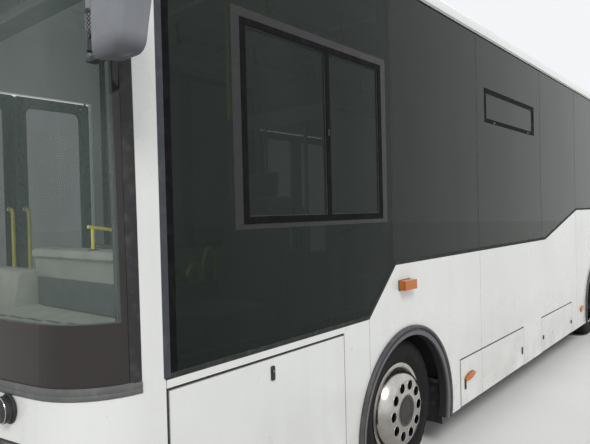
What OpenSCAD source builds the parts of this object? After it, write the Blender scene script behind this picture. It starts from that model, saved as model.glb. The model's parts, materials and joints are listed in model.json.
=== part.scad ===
// Low-floor airport passenger bus, two doors, left-hand drive, standing as parked.
// Millimetres. +X runs to the tail, +Y to the door side, +Z up, and the ground is at zero.
// Places along the body are given from the front axle, because the arches set the panels.

/* [Body] */
// Length from nose to tail
body_l = 9200; // [9000:20:9400]
// Width over the side panels
body_w = 2360; // [2320:10:2400]
// Height of the roof's crown
roof_h = 2990; // [2950:10:3060]
// Height of the skirt's lower edge
skirt_z = 230; // [215:5:240]
// Thickness of the body's walls
wall_t = 55; // [50:1:60]
// Plan radius of the nose
nose_r = 5200; // [4600:100:6400]
// Plan radius of the front corners
corner_r = 275; // [240:5:300]
// Plan radius of the tail
tail_r = 12000; // [10000:500:16000]
// Plan radius of the rear corners
tail_corner_r = 170; // [140:5:200]
// Radius of the roof's long edges
roof_edge_r = 150; // [130:5:160]
// Radius of the roof's crown across the body
crown_r = 15000; // [12000:500:20000]
// Radius of the roof's front brow
brow_r = 260; // [220:5:300]
// Radius of the roof's rear edge
tail_brow_r = 200; // [170:5:230]
// Backward lean of the whole nose, in degrees
screen_lean = 2.5; // [1.5:0.1:3.5]
// How far the wipers' hubs stand out from the nose
wiper_out = 28; // [24:1:30]

/* [Axles] */
// Bumper's tip to front axle
front_overhang = 2140; // [2110:10:2180]
// Front axle to rear axle
wheelbase = 4620; // [4560:10:4680]
// Radius of every tyre
tyre_r = 405; // [398:1:410]
// Width of one tyre
tyre_w = 250; // [240:1:258]
// Gap from the side's plane in to the outer tyre wall
wheel_inset = 65; // [58:1:80]
// Distance between the centres of twin tyres
twin_pitch = 285; // [278:1:295]
// Radius of the rims' flanges
rim_r = 260; // [250:1:266]
// Radius of the kingpins' circle from the wheel's centre plane
kingpin_in = 140; // [132:1:150]
// Radius of a kingpin
kingpin_r = 18; // [14:1:22]
// Radius of a front wheel's spindle
spindle_r = 30; // [26:1:34]
// Radius of a rear wheel's spindle
rear_spindle_r = 45; // [40:1:50]
// Radial clearance of a shaft in its bore
run_fit = 0.05; // [0.03:0.01:0.08]
// Radius of the arches' outer trim
arch_r = 534; // [524:1:545]
// Width of the arches' trim
arch_trim_w = 56; // [48:1:60]
// How far the arches' trim stands out from the side
arch_trim_t = 20; // [14:1:26]
// Height of the arches' centre
arch_z = 360; // [350:5:370]
// Inner radius of the wheel housings
housing_r = 532; // [526:1:545]
// Wall of the wheel housings
housing_t = 14; // [10:1:18]
// Depth of the wheel housings, in from the walls' inner face
housing_depth = 580; // [565:5:595]

/* [Windows] */
// Lower edge of the windscreen
screen_z = 990; // [970:5:1010]
// Upper edge of the windscreen, below the roof's crown
screen_drop = 290; // [270:10:320]
// Windscreen's side edge, ahead of the front axle
screen_edge = 1777; // [1765:1:1790]
// Front edge of the side glass, ahead of the front axle
pillar_edge = 1682; // [1672:1:1692]
// Upper edge of the side glass, below the roof's crown
glass_drop = 204; // [200:1:230]
// Lower edge of the driver's glass
driver_sill = 1005; // [980:5:1030]
// Sill of the middle windows
sill_z = 1268; // [1240:2:1300]
// Sill of the rear windows
rear_sill = 1522; // [1490:2:1550]
// Start of the rise behind the driver's glass, ahead of the front axle
rise_1 = 410; // [395:5:425]
// Length of that rise
rise_1_l = 280; // [260:5:300]
// Start of the rise to the rear windows, behind the front axle
rise_2 = 2620; // [2590:5:2640]
// Length of that rise
rise_2_l = 1135; // [1100:5:1170]
// Thickness of the glass
glass_t = 6; // [5:0.5:8]
// Depth of the glass below the side panels' face
glass_sunk = 2; // [1:0.5:4]
// Gap round each pane
pane_gap = 4; // [3:0.5:6]
// Width of the frame seen behind each pane's edge
frame_w = 45; // [38:1:52]
// Lower edge of the rear window
tail_glass_z = 1740; // [1700:10:1780]
// Upper edge of the rear window, below the roof's crown
tail_glass_drop = 450; // [420:10:480]
// Half width of the rear window
tail_glass_y = 900; // [860:10:920]

/* [Doors] */
// Height of the low floor's top
floor_z = 355; // [345:1:365]
// Thickness of the low floor
floor_t = 40; // [32:1:46]
// Upper edge of the door openings
door_top = 2400; // [2360:10:2440]
// Thickness of a door leaf
leaf_t = 36; // [32:1:40]
// Gap between a leaf and the jamb beside it
leaf_gap = 14; // [13:0.5:18]
// Gap under and over a leaf
leaf_end_gap = 15; // [12:0.5:20]
// Frame round a leaf's glass
leaf_frame = 58; // [50:1:66]
// Length of the front door's opening
front_door_l = 1105; // [1090:5:1115]
// Start of the middle door's opening, behind the front axle
mid_door_x = 1250; // [1230:5:1270]
// Length of the middle door's opening
mid_door_l = 1200; // [1170:5:1220]
// Radius of a door or lid hinge's pin
pin_r = 8; // [6:0.5:10]

/* [Lids] */
// Thickness of the service lids
lid_t = 40; // [34:1:46]
// Gap at the ends of a service lid
lid_gap = 7; // [6:0.5:10]
// Gap above a service lid
lid_top_gap = 12; // [11:0.5:16]
// Lower edge of the engine lid
engine_lid_z = 500; // [480:10:520]
// Height of the engine lid
engine_lid_h = 900; // [860:10:940]
// Half width of the engine lid
engine_lid_y = 760; // [720:10:800]
// Pitch of the engine lid's louvres
louvre_pitch = 44; // [40:1:50]

/* [Cab] */
// Height of the driver's platform
cab_floor = 600; // [580:5:620]
// Middle of the driver's place, in from the side's face
driver_in = 540; // [520:5:560]
// Radius of the steering wheel
wheel_r = 225; // [210:5:240]
// Tilt of the steering wheel's face from level, in degrees
wheel_tilt = 28; // [22:1:34]
// Height of the dashboard's top
dash_top = 1150; // [1120:5:1170]

/* [Saloon] */
// Height of the floor over the rear axle
rear_floor = 760; // [740:5:780]
// Height of the deck over the engine
engine_deck = 1110; // [1080:5:1140]
// Width of the aisle between the passenger seats
aisle_w = 420; // [390:5:450]
// Length of a seat's cushion
seat_l = 420; // [400:5:440]
// Height of a seat's back above its cushion
seat_back = 480; // [450:5:520]
// Thickness of a seat's shell
seat_t = 38; // [30:1:44]
// Height of a seat above its floor
seat_h = 440; // [420:5:460]
// Radius of the grab rails
rail_r = 17; // [15:0.5:19]

/* [Hidden] */
$fn = 64;
big_fn = 720;
wiper_z = 930;
// How far the wipers' hubs stand ahead of the bumper's tip
hubs_ahead = max(0, wiper_out - (wiper_z - skirt_z) * tan(screen_lean));
nose_x = (hubs_ahead - body_l) / 2;
tail_x = nose_x + body_l;
side_y = body_w / 2;
inner_y = side_y - wall_t;
driver_y = side_y - driver_in;
housing_in = inner_y - housing_depth;
screen_top = roof_h - screen_drop;
glass_top = roof_h - glass_drop;
tail_glass_h = roof_h - tail_glass_drop - tail_glass_z;
axle_f = nose_x + front_overhang;
axle_r = axle_f + wheelbase;
seam_f = axle_f - pillar_edge;
tail_seam = tail_x - 370;
screen_x = axle_f - screen_edge;
roof_z = glass_top + pane_gap;
header_z = screen_top + pane_gap;
function nose_at(z) = nose_x + (z - skirt_z) * tan(screen_lean);
// Arcs that would only graze their neighbour stand out past it by this much, so the two cross
overrun = 1;
brow_x = nose_at(roof_h - brow_r) + brow_r / cos(screen_lean) - overrun;
glass_out = side_y - glass_sunk;
glass_in = glass_out - glass_t;
tyre_y = side_y - wheel_inset - tyre_w / 2;
king_y = tyre_y - kingpin_in;
hub_z = tyre_r;
shape_gap = 0.3;
frame_in = inner_y;

// Service lids on the driver's side: start from the front axle, length, top height, panel cut ahead of the lid
LID_START = 0;
LID_LENGTH = 1;
LID_TOP = 2;
LID_CUT = 3;
lids = [
  [-1668, 1028, 955, 40],
  [700, 1270, 541, 16],
  [2467, 1043, 540, lid_gap]
];

// Window joints from the front axle, one list for each side
last_joint = tail_seam - axle_f;
rear_joint = 3725;
left_joints = [-pillar_edge, -146, 1048, 2520, rear_joint, (rear_joint + last_joint) / 2, last_joint];
right_mid_joints = [-500, 340, mid_door_x - 60];
right_rear_joints = [mid_door_x + mid_door_l + 60, rear_joint, (rear_joint + last_joint) / 2, last_joint];

// Sliding and tilting window frames: start, length, sill, height, each from axle and ground
driver_slider = [-1290, 1040, 1510, glass_top - 1976];
tilt_window = [1200, 1140, glass_top - 606, 250];

// Rows of passenger seats: place, floor, and the places across that have a seat
ROW_X = 0;
ROW_FLOOR = 1;
ROW_SEATS = 2;
seat_pitch = (inner_y - 35 - aisle_w / 2) / 2;
seat_w = seat_pitch - 10;
aisle_seat = (aisle_w + seat_pitch) / 2;
wall_seat = aisle_seat + seat_pitch;
seat_rows = [
  [axle_f + 900, floor_z, [-wall_seat, -aisle_seat]],
  [axle_f + 1700, floor_z, [-wall_seat, -aisle_seat]],
  [axle_f + 2500, floor_z, [-wall_seat, -aisle_seat]],
  [axle_f + 880, floor_z, [wall_seat]],
  [axle_r - 1620, floor_z, [wall_seat]],
  [axle_r - 620, rear_floor, [-wall_seat, -aisle_seat, aisle_seat, wall_seat]],
  [tail_x - 1500, engine_deck, [-wall_seat, -aisle_seat, aisle_seat, wall_seat]],
  [tail_x - 680, engine_deck, [-wall_seat, -aisle_seat, 0, aisle_seat, wall_seat]]
];

// Grab poles on the low floor: place along and across the bus
POLE_X = 0;
POLE_Y = 1;
poles = [
  [axle_f - 500, 350 - driver_y], [axle_f - 470, 500], [axle_f + 640, -200], [axle_f + 640, 480],
  [axle_f + 1180, 480], [axle_f + 2560, 480], [axle_r - 1120, -200], [axle_r - 1120, 480]
];

function sill_at(x) =
  x <= -rise_1 ? driver_sill
  : x <= rise_1_l - rise_1 ? driver_sill + (sill_z - driver_sill) * (x + rise_1) / rise_1_l
  : x <= rise_2 ? sill_z
  : x <= rise_2 + rise_2_l ? sill_z + (rear_sill - sill_z) * (x - rise_2) / rise_2_l
  : rear_sill;
sill_bends = [-rise_1, rise_1_l - rise_1, rise_2, rise_2 + rise_2_l];

// A window's outline from the sill up, places from the front axle, drawn in from its edges
module pane(from, to, inset, top = glass_top) {
  x0 = from + inset;
  x1 = to - inset;
  foot = [for (x = sill_bends) if (x > x0 && x < x1) [axle_f + x, sill_at(x) + inset]];
  polygon(concat(
    [[axle_f + x0, top - inset], [axle_f + x0, sill_at(x0) + inset]],
    foot,
    [[axle_f + x1, sill_at(x1) + inset], [axle_f + x1, top - inset]]
  ));
}

// Stands a side view up on the XZ plane between two places across the bus
module upright(y0, y1) translate([0, y1, 0]) rotate([90, 0, 0]) linear_extrude(y1 - y0) children();

module both_sides() {
  children();
  mirror([0, 1, 0]) children();
}

// Outline of a bowed end with round corners, its tip at zero and its straight sides towards +X
module bowed_end(tip_r, round_r, length, inset) {
  round_y = side_y - round_r;
  round_x = tip_r - sqrt(pow(tip_r - round_r, 2) - pow(round_y, 2)) - overrun / 4;
  reach = 2 * round_r / norm([round_x - tip_r, round_y]) + 1;
  intersection() {
    translate([tip_r, 0]) circle(tip_r - inset, $fn = big_fn);
    union() {
      polygon([
        [round_x, -round_y], [tip_r + (round_x - tip_r) * reach, -round_y * reach],
        [tip_r + (round_x - tip_r) * reach, round_y * reach], [round_x, round_y]
      ]);
      for (s = [-1, 1]) translate([round_x, s * round_y]) circle(round_r - inset);
    }
  }
  translate([round_x, inset - side_y]) square([length - round_x, body_w - 2 * inset]);
}

// Section across the body, drawn in by an inset on the sides and the roof
module section(inset) translate([0, roof_h]) rotate(-90)
  bowed_end(crown_r, roof_edge_r, roof_h - skirt_z, inset);

// Side view of the body, open above the roof, with the brow and the tail's round edge
module side_view(inset) {
  tail_brow_x = tail_x - tail_brow_r + overrun;
  translate([nose_x - wall_t, 0]) square([brow_x - nose_x + wall_t, roof_h - brow_r * (1 - sin(screen_lean))]);
  translate([brow_x, roof_h - brow_r + overrun]) circle(brow_r - inset);
  translate([brow_x, 0]) square([tail_brow_x - brow_x, roof_h + wall_t]);
  translate([tail_brow_x, roof_h - tail_brow_r + overrun]) circle(tail_brow_r - inset);
  translate([tail_brow_x, 0]) square([tail_brow_r + wall_t, roof_h - tail_brow_r]);
}

// Stands the nose's plan on its leaning axis, with the ends far outside the body
module along_nose() translate([nose_x, 0, skirt_z]) rotate([0, screen_lean, 0])
  translate([0, 0, -body_l / 10]) linear_extrude(body_l / 2) children();

module along_tail() translate([tail_x, 0, 0]) mirror([1, 0, 0]) linear_extrude(body_l / 2) children();

// The whole body as one solid, its faces drawn in by an inset
module body_solid(inset) {
  intersection() {
    along_nose() bowed_end(nose_r, corner_r, body_l + 4 * wall_t, inset);
    along_tail() bowed_end(tail_r, tail_corner_r, body_l + 4 * wall_t, inset);
    translate([nose_x - wall_t, 0, 0]) rotate([90, 0, 90]) linear_extrude(body_l + 2 * wall_t) section(inset);
    upright(-side_y - wall_t, side_y + wall_t) side_view(inset);
  }
}

// A layer of the body between two depths
module layer(outer, inner) {
  difference() {
    body_solid(outer);
    body_solid(inner);
  }
}

// The same between the corners only, where the nose or the tail is a plain bow
module bow(tip_r, outer, inner) translate([tip_r, 0]) difference() {
  circle(tip_r - outer, $fn = big_fn);
  circle(tip_r - inner, $fn = big_fn);
}

module nose_layer(outer, inner) along_nose() bow(nose_r, outer, inner);
module tail_layer(outer, inner) along_tail() bow(tail_r, outer, inner);

// Carries an outline drawn from the front or the rear through the nose or the tail
module from_front() translate([nose_x - 100, 0, 0]) rotate([90, 0, 90]) linear_extrude(seam_f - nose_x + 99) children();
module from_rear() translate([tail_seam + 99, 0, 0]) rotate([90, 0, 90]) linear_extrude(tail_x - tail_seam) children();

// Keeps what lies between two places along the body and two heights
module slice(x0, x1, z0, z1) translate([x0, -body_w, z0]) cube([x1 - x0, 2 * body_w, z1 - z0]);

module rounded(w, h, r) {
  translate([r, 0]) square([w - 2 * r, h]);
  translate([0, r]) square([w, h - 2 * r]);
  for (x = [r, w - r]) for (y = [r, h - r]) translate([x, y]) circle(r);
}

module arch_holes(r) for (x = [axle_f, axle_r]) translate([x, arch_z]) circle(r);

// Underframe

rail_y = housing_in - 145;
rail_w = 60;
low_rail_z = 250;
high_rail_z = 560;
high_rail_h = 110;
rail_step_x = axle_r - 760;
underfloor = floor_z - floor_t;
rear_member_x = tail_x - wall_t - 180;
platform_end = axle_f - 560;
// The engine starts behind the rear axle, and the deck's riser stands ahead of it
engine_x = axle_r + 820;
engine_room = 140;
deck_x = engine_x - engine_room - floor_t;

module underframe() color([0.12, 0.12, 0.13]) {
  front_x = nose_x + 370;
  both_sides() {
    translate([front_x, rail_y - rail_w / 2, low_rail_z])
      cube([rail_step_x - rail_w - shape_gap - front_x, rail_w, underfloor - low_rail_z]);
    translate([rail_step_x - rail_w, rail_y - rail_w / 2, low_rail_z])
      cube([rail_w, rail_w, high_rail_z + high_rail_h - low_rail_z]);
    translate([rail_step_x - rail_w, rail_y - rail_w / 2, high_rail_z])
      cube([tail_x - wall_t - 120 - rail_step_x + rail_w, rail_w, high_rail_h]);
  }
  for (x = [front_x, axle_f - 900, axle_f + 700, axle_f + 1700, axle_f + 2700, rail_step_x - rail_w - 51])
    translate([x, 1 - inner_y, low_rail_z + 15]) cube([50, 2 * inner_y - 2, underfloor - low_rail_z - 15]);
  for (x = [rail_step_x + 120, rear_member_x])
    translate([x, -rail_y, high_rail_z + 20]) cube([60, 2 * rail_y, high_rail_h - 40]);
  // Brackets that carry the rear bumper
  both_sides() intersection() {
    body_solid(wall_t + shape_gap);
    translate([tail_x - wall_t - 130, rail_y - rail_w / 2, skirt_z + 60])
      cube([2 * wall_t, rail_w, high_rail_z + high_rail_h - skirt_z - 60]);
  }
  // Towing eyes under the skirt, each on a stem from the end cross-member
  towing_eye(front_x - eye_reach, front_x, low_rail_z);
  towing_eye(rear_member_x + 60 + eye_reach, rear_member_x, high_rail_z + 20);
}

eye_r = 21;
eye_z = 196;
eye_t = 26;
eye_reach = 75;

module towing_eye(x, stem_x, top_z) {
  difference() {
    union() {
      translate([x, 0, eye_z]) cylinder(r = 3 * eye_r, h = eye_t);
      translate([min(x, stem_x), -50, eye_z]) cube([abs(x - stem_x) + (x < stem_x ? 60 : 0), 100, eye_t]);
    }
    translate([x, 0, eye_z - 1]) cylinder(r = eye_r, h = eye_t + 2);
  }
  translate([stem_x, -50, eye_z]) cube([60, 100, top_z + 30 - eye_z]);
}

// Floors, steps and the driver's platform in one moulding

module floor_deck() color([0.32, 0.33, 0.35]) {
  step_x = axle_r - 950;
  cut_r = housing_r + housing_t + shape_gap;
  difference() {
    intersection() {
      body_solid(wall_t + shape_gap);
      union() {
        slice(nose_x, step_x + floor_t, floor_z - floor_t, floor_z);
        slice(step_x, step_x + floor_t, floor_z - floor_t, rear_floor);
        slice(step_x, deck_x + floor_t, rear_floor - floor_t, rear_floor);
        slice(deck_x, deck_x + floor_t, rear_floor - floor_t, engine_deck);
        slice(deck_x, tail_x, engine_deck - floor_t, engine_deck);
        translate([nose_x, -side_y, floor_z - floor_t])
          cube([platform_end - nose_x, side_y + platform_y, cab_floor - floor_z + floor_t]);
      }
    }
    both_sides() for (x = [axle_f, axle_r])
      upright(housing_in - shape_gap, side_y) {
        translate([x, hub_z]) circle(cut_r);
        translate([x - cut_r, 0]) square([2 * cut_r, hub_z]);
      }
  }
}

module wheel_housing(x) {
  difference() {
    upright(housing_in, inner_y) intersection() {
      union() {
        translate([x, hub_z]) circle(housing_r + housing_t);
        translate([x - housing_r - housing_t, skirt_z]) square([2 * (housing_r + housing_t), hub_z - skirt_z]);
      }
      translate([x - body_w, underfloor]) square([2 * body_w, roof_h]);
    }
    upright(housing_in + housing_t, inner_y + 1) {
      translate([x, hub_z]) circle(housing_r);
      translate([x - housing_r, 0]) square([2 * housing_r, hub_z]);
    }
    // The rear axle's tube passes through, with room to rise
    upright(0, inner_y) translate([axle_r, 0]) {
      translate([-axle_tube_r - 30, 0]) square([2 * axle_tube_r + 60, hub_z + 30]);
      translate([0, hub_z + 30]) circle(axle_tube_r + 30);
    }
  }
}

module wheel_housings() color([0.1, 0.1, 0.1]) both_sides() for (x = [axle_f, axle_r]) wheel_housing(x);

// Outer panels

module side_foot() {
  difference() {
    polygon(concat(
      [[seam_f + 4, skirt_z], [seam_f + 4, sill_at(-pillar_edge)]],
      [for (x = sill_bends) [axle_f + x, sill_at(x)]],
      [[tail_seam, rear_sill], [tail_seam, skirt_z]]
    ));
    arch_holes(arch_r - arch_trim_w / 2);
  }
}

module lid_holes() {
  for (l = lids)
    translate([axle_f + l[LID_START] - l[LID_CUT], 0])
      square([l[LID_LENGTH] + lid_gap + l[LID_CUT], l[LID_TOP] + lid_top_gap]);
}

module left_side() color([0.93, 0.93, 0.91]) difference() {
  upright(-side_y, -inner_y) difference() {
    side_foot();
    lid_holes();
  }
  for (l = lids) lid_pins(l, run_fit);
}

door_foot = floor_z;

module door_holes() {
  translate([seam_f - 10, door_foot]) square([front_door_l + 14, door_top - door_foot]);
  translate([axle_f + mid_door_x, door_foot]) square([mid_door_l, door_top - door_foot]);
}

module right_side() color([0.93, 0.93, 0.91]) difference() {
  upright(inner_y, side_y) difference() {
    translate([seam_f + 4, skirt_z]) square([tail_seam - seam_f - 4, roof_z - skirt_z]);
    pane(right_mid_joints[0], right_mid_joints[len(right_mid_joints) - 1], 0, roof_z + 1);
    pane(right_rear_joints[0], right_rear_joints[len(right_rear_joints) - 1] + 1, 0, roof_z + 1);
    door_holes();
    arch_holes(arch_r - arch_trim_w / 2);
  }
  for (d = door_leaves) leaf_pins(d, run_fit);
}

lamp_z = 640;
lamp_h = 180;
lamp_in = side_y - 620;
lamp_w = 470;
bumper_z = 560;

// Head lamps' outline from the front, or the rear lamps', grown by an amount
module lamp_face(y0, w, z0, h, grow) for (s = [0, 1]) mirror([s, 0])
  translate([y0 - grow, z0 - grow]) rounded(w + 2 * grow, h + 2 * grow, 40 + grow);

tail_lamp_y = side_y - 280;
tail_lamp_w = 190;
tail_lamp_z = 640;
tail_lamp_h = 620;

module front_panels() color([0.93, 0.93, 0.91]) difference() {
  intersection() {
    layer(0, wall_t);
    union() {
      slice(nose_x - 50, seam_f, bumper_z, header_z);
      slice(nose_x - 50, seam_f, skirt_z, bumper_z - 5);
    }
  }
  slice(nose_x - 50, screen_x, screen_z, header_z + 1);
  from_front() lamp_face(lamp_in, lamp_w, lamp_z, lamp_h, 0);
  lid_pins(lids[0], run_fit);
  from_front() for (y = wiper_pivots) translate([y, wiper_z]) circle(wiper_hub_r + shape_gap);
}

// Rear window's outline, drawn in by an inset
module tail_window(inset) translate([inset - tail_glass_y, tail_glass_z + inset])
  square([2 * (tail_glass_y - inset), tail_glass_h - 2 * inset]);

module rear_panels() color([0.93, 0.93, 0.91]) difference() {
  intersection() {
    layer(0, wall_t);
    union() {
      slice(tail_seam + 4, tail_x + 50, 470, roof_z);
      slice(tail_seam + 4, tail_x + 50, skirt_z, 465);
    }
  }
  from_rear() {
    tail_window(0);
    translate([-engine_lid_y - lid_gap, engine_lid_z - lid_gap])
      square([2 * (engine_lid_y + lid_gap), engine_lid_h + lid_gap + engine_top_gap]);
    lamp_face(tail_lamp_y, tail_lamp_w, tail_lamp_z, tail_lamp_h, 0);
  }
  engine_lid_pins(run_fit);
}

module roof() color([0.93, 0.93, 0.91]) {
  intersection() {
    layer(0, wall_t);
    union() {
      slice(nose_x - 50, tail_x + 50, roof_z, roof_h + 1);
      slice(nose_x - 50, seam_f, header_z, roof_z + 1);
    }
  }
  // Ribs under the roof's skin carry the ceiling rails
  for (x = [axle_f - 400, axle_f + 640, axle_f + 2560, axle_r - 1120])
    intersection() {
      layer(wall_t - 1, wall_t + 22);
      slice(x - 30, x + 30, roof_z, roof_h);
    }
}

// Glass and its frames

// Frame of one side's window band, open behind every pane
module band_frame(joints) {
  difference() {
    pane(joints[0], joints[len(joints) - 1], 0, roof_z);
    for (i = [0 : len(joints) - 2]) pane(joints[i], joints[i + 1], frame_w, roof_z);
  }
}

module window_box(w, inset) translate([axle_f + w[0] + inset, w[2] + inset]) square([w[1] - 2 * inset, w[3] - 2 * inset]);

sash_w = 30;

module sash(w) difference() {
  window_box(w, 0);
  window_box(w, sash_w);
}

module window_frames() color([0.06, 0.06, 0.065]) {
  upright(-glass_in, -frame_in) band_frame(left_joints);
  upright(frame_in, glass_in) {
    band_frame(right_mid_joints);
    band_frame(right_rear_joints);
  }
  upright(-side_y, -glass_in) {
    sash(driver_slider);
    translate([axle_f + driver_slider[0] + driver_slider[1] * 0.53, driver_slider[2] + sash_w])
      square([sash_w, driver_slider[3] - 2 * sash_w]);
    sash(tilt_window);
  }
  difference() {
    intersection() {
      layer(glass_sunk + screen_t + shape_gap, wall_t);
      slice(nose_x - 50, screen_x, screen_z, header_z);
    }
    slice(nose_x - 50, screen_x - frame_w, screen_z + screen_border, header_z - screen_border);
  }
  intersection() {
    tail_layer(glass_sunk + glass_t + shape_gap, wall_t);
    from_rear() difference() {
      tail_window(0);
      tail_window(frame_w);
    }
  }
}

screen_t = glass_t + 4;
screen_border = 60;

module windscreen() color([0.45, 0.55, 0.5, 0.5]) intersection() {
  layer(glass_sunk, glass_sunk + screen_t);
  slice(nose_x - 50, screen_x - pane_gap, screen_z + pane_gap, header_z - pane_gap);
}

module rear_glass() color([0.1, 0.12, 0.11, 0.6]) intersection() {
  tail_layer(glass_sunk, glass_sunk + glass_t);
  from_rear() tail_window(pane_gap);
}

module panes(joints) for (i = [0 : len(joints) - 2]) pane(joints[i], joints[i + 1], pane_gap);

module side_glass() color([0.1, 0.12, 0.11, 0.6]) {
  upright(-glass_out, -glass_in) difference() {
    panes(left_joints);
    window_box(driver_slider, 0);
    window_box(tilt_window, 0);
  }
  upright(-glass_in, -glass_in + glass_t) {
    window_box(driver_slider, sash_w / 2);
    window_box(tilt_window, sash_w / 2);
  }
  upright(glass_in, glass_out) {
    panes(right_mid_joints);
    panes(right_rear_joints);
  }
}

// Trim's profile: an outer roll, a groove and an inner lip that turns in round the panel's edge
module arch_trim_face() {
  in_r = arch_r - arch_trim_w;
  lip_w = arch_trim_w * 0.42;
  roll_r = arch_trim_w * 0.18;
  union() {
    polygon([
      [in_r, 6 - wall_t], [in_r + 12, 6 - wall_t], [in_r + 12, 0], [arch_r - roll_r, 0],
      [arch_r - roll_r, arch_trim_t * 0.3], [in_r + lip_w, arch_trim_t * 0.3],
      [in_r + lip_w, arch_trim_t * 0.7], [in_r, arch_trim_t * 0.5]
    ]);
    translate([arch_r - roll_r, roll_r]) circle(roll_r, $fn = 24);
    translate([arch_r - 2 * roll_r, 0]) square([2 * roll_r, roll_r]);
  }
}

module arch_trims() color([0.2, 0.2, 0.21]) both_sides() for (x = [axle_f, axle_r]) intersection() {
  translate([x, side_y, arch_z]) rotate([-90, 0, 0]) rotate_extrude($fn = 96) arch_trim_face();
  translate([x - body_w, inner_y, skirt_z + 2]) cube([2 * body_w, 2 * wall_t, body_w]);
}

// Heavy masses and axles

engine_bottom = 330;
engine_clear = 50;

// Engine and gearbox as one block between the high rails, hung on four lugs
module engine() color([0.18, 0.18, 0.18]) {
  start = engine_x;
  end = tail_x - 470;
  half_w = rail_y - 70;
  translate([start, -half_w, engine_bottom])
    cube([end - start, 2 * half_w, engine_deck - floor_t - engine_clear - engine_bottom]);
  both_sides() for (x = [start + 80, end - 170])
    translate([x, half_w - 10, high_rail_z + high_rail_h]) cube([80, rail_y - half_w + 10, 50]);
}

beam_z = 160;
beam_h = 75;
beam_l = 90;

link_l = 690;
link_w = 50;

module front_axle() {
  // Dropped beam under the low floor, with an eye at each end
  eye_h = 150;
  difference() {
    union() {
      translate([axle_f, 0, 0]) rotate([90, 0, 90]) translate([0, 0, -beam_l / 2]) linear_extrude(beam_l)
        polygon([
          [-king_y, hub_z - 60], [-king_y + 130, hub_z - 60], [-560, beam_z], [560, beam_z],
          [king_y - 130, hub_z - 60], [king_y, hub_z - 60], [king_y, hub_z + 40], [king_y - 150, hub_z + 40],
          [540, beam_z + beam_h], [-540, beam_z + beam_h], [150 - king_y, hub_z + 40], [-king_y, hub_z + 40]
        ]);
      for (s = [-1, 1]) translate([axle_f, s * king_y, hub_z - eye_h / 2]) cylinder(r = 46, h = eye_h);
    }
    for (s = [-1, 1]) translate([axle_f, s * king_y, 0]) cylinder(r = kingpin_r + run_fit, h = 900);
  }
  both_sides() {
    translate([axle_f, rail_y + 55, beam_z + 10]) cube([link_l, link_w, link_w]);
    translate([axle_f + link_l - link_w, rail_y - 20, beam_z + 10])
      cube([link_w, 75 + link_w, low_rail_z - beam_z - 10]);
  }
}

bag_r = 105;
axle_tube_r = 62;

module rear_axle() {
  stub_y = tyre_y - twin_pitch - tyre_w / 2 - 20;
  translate([axle_r, 0, hub_z]) rotate([90, 0, 0]) cylinder(r = axle_tube_r, h = 2 * stub_y, center = true);
  translate([axle_r, 0, hub_z]) sphere(165);
  translate([axle_r, 0, hub_z]) rotate([90, 0, 0])
    cylinder(r = rear_spindle_r, h = 2 * tyre_y, center = true);
  both_sides() {
    translate([axle_r - 430, rail_y - 45, hub_z - 30]) cube([860, 90, 60]);
    for (x = [-330, 330]) translate([axle_r + x, rail_y, hub_z]) cylinder(r = bag_r, h = high_rail_z - hub_z);
  }
}

module axles() color([0.1, 0.1, 0.1]) {
  front_axle();
  rear_axle();
}

// Wheels: every piece is drawn round the Y axis with its outboard face at +Y

rim_half = 95;
flange_w = 12;
bead_half = rim_half - 1 - shape_gap;

module tyre() rotate([-90, 0, 0]) rotate_extrude($fn = 96) {
  half = tyre_w / 2;
  seat = rim_r - 12;
  crown = 34;
  difference() {
    union() {
      translate([seat, -half + crown]) square([tyre_r - seat, tyre_w - 2 * crown]);
      translate([seat + crown, -half]) square([tyre_r - seat - 2 * crown, tyre_w]);
      for (s = [-1, 1]) {
        translate([seat + crown, s * (half - crown)]) circle(crown);
        translate([tyre_r - crown, s * (half - crown)]) circle(crown);
      }
    }
    translate([seat - 1, crown - half + 4]) square([60, tyre_w - 2 * crown - 8]);
    // The rim's flanges hold the beads
    for (s = [-1, 1]) translate([seat - 1, s * (bead_half + half) - half]) square([rim_r + 4 - seat, tyre_w]);
  }
}

rim_t = 9;
disc_r = 172;
hand_hole_r = 28;
hand_hole_pitch = 143;
hub_hole_r = 80;
twin_hub_r = 98;

// Barrel and flanges of one rim, as the half profile that is turned
module barrel_face(at) {
  barrel = rim_r - 12 - shape_gap;
  translate([barrel - rim_t, at - rim_half]) square([rim_t, 2 * rim_half]);
  for (s = [-1, 1]) translate([barrel - rim_t, at + s * (rim_half - 1 + flange_w / 2) - flange_w / 2])
    square([rim_t + 12 + shape_gap, flange_w]);
}

module hand_holes(pitch, at) for (a = [0 : 36 : 324]) rotate([0, a, 0]) translate([pitch, 0, 0])
  rotate([-90, 0, 0]) translate([0, 0, at]) cylinder(r = hand_hole_r, h = 90);

// Steered wheel: its disc bows outward past the flange by bell_out, its hub starts at hub_back
bell_out = 70;
hub_back = -54;

module front_rim_shape() difference() {
  rotate([-90, 0, 0]) rotate_extrude($fn = 96) {
    face = rim_half + bell_out;
    edge = rim_r - 12 - shape_gap;
    bearing = spindle_r + run_fit;
    hub_out = face - 18;
    barrel_face(0);
    polygon([
      [edge - 4, rim_half - 60], [edge - 14, rim_half - 44], [edge - 19, rim_half - 4],
      [edge - 26, rim_half + 22], [disc_r + 36, face - 22], [disc_r + 18, face - 7],
      [disc_r, face], [hub_hole_r, face], [hub_hole_r, face - rim_t],
      [disc_r - 3, face - rim_t], [disc_r + 13, face - rim_t - 6], [disc_r + 28, face - rim_t - 19],
      [edge - 35, rim_half + 18], [edge - 28, rim_half - 6], [edge - 22, rim_half - 50],
      [edge - 12, rim_half - 60]
    ]);
    // Hub, its flange behind the disc and its dust cap
    translate([bearing, hub_back]) square([hub_hole_r - 6 - bearing, hub_out - hub_back]);
    translate([0, face - 24]) square([58, 20]);
    translate([hub_hole_r - 12, face - 40]) square([36, 34]);
  }
  hand_holes(hand_hole_pitch, rim_half + 20);
}

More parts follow.
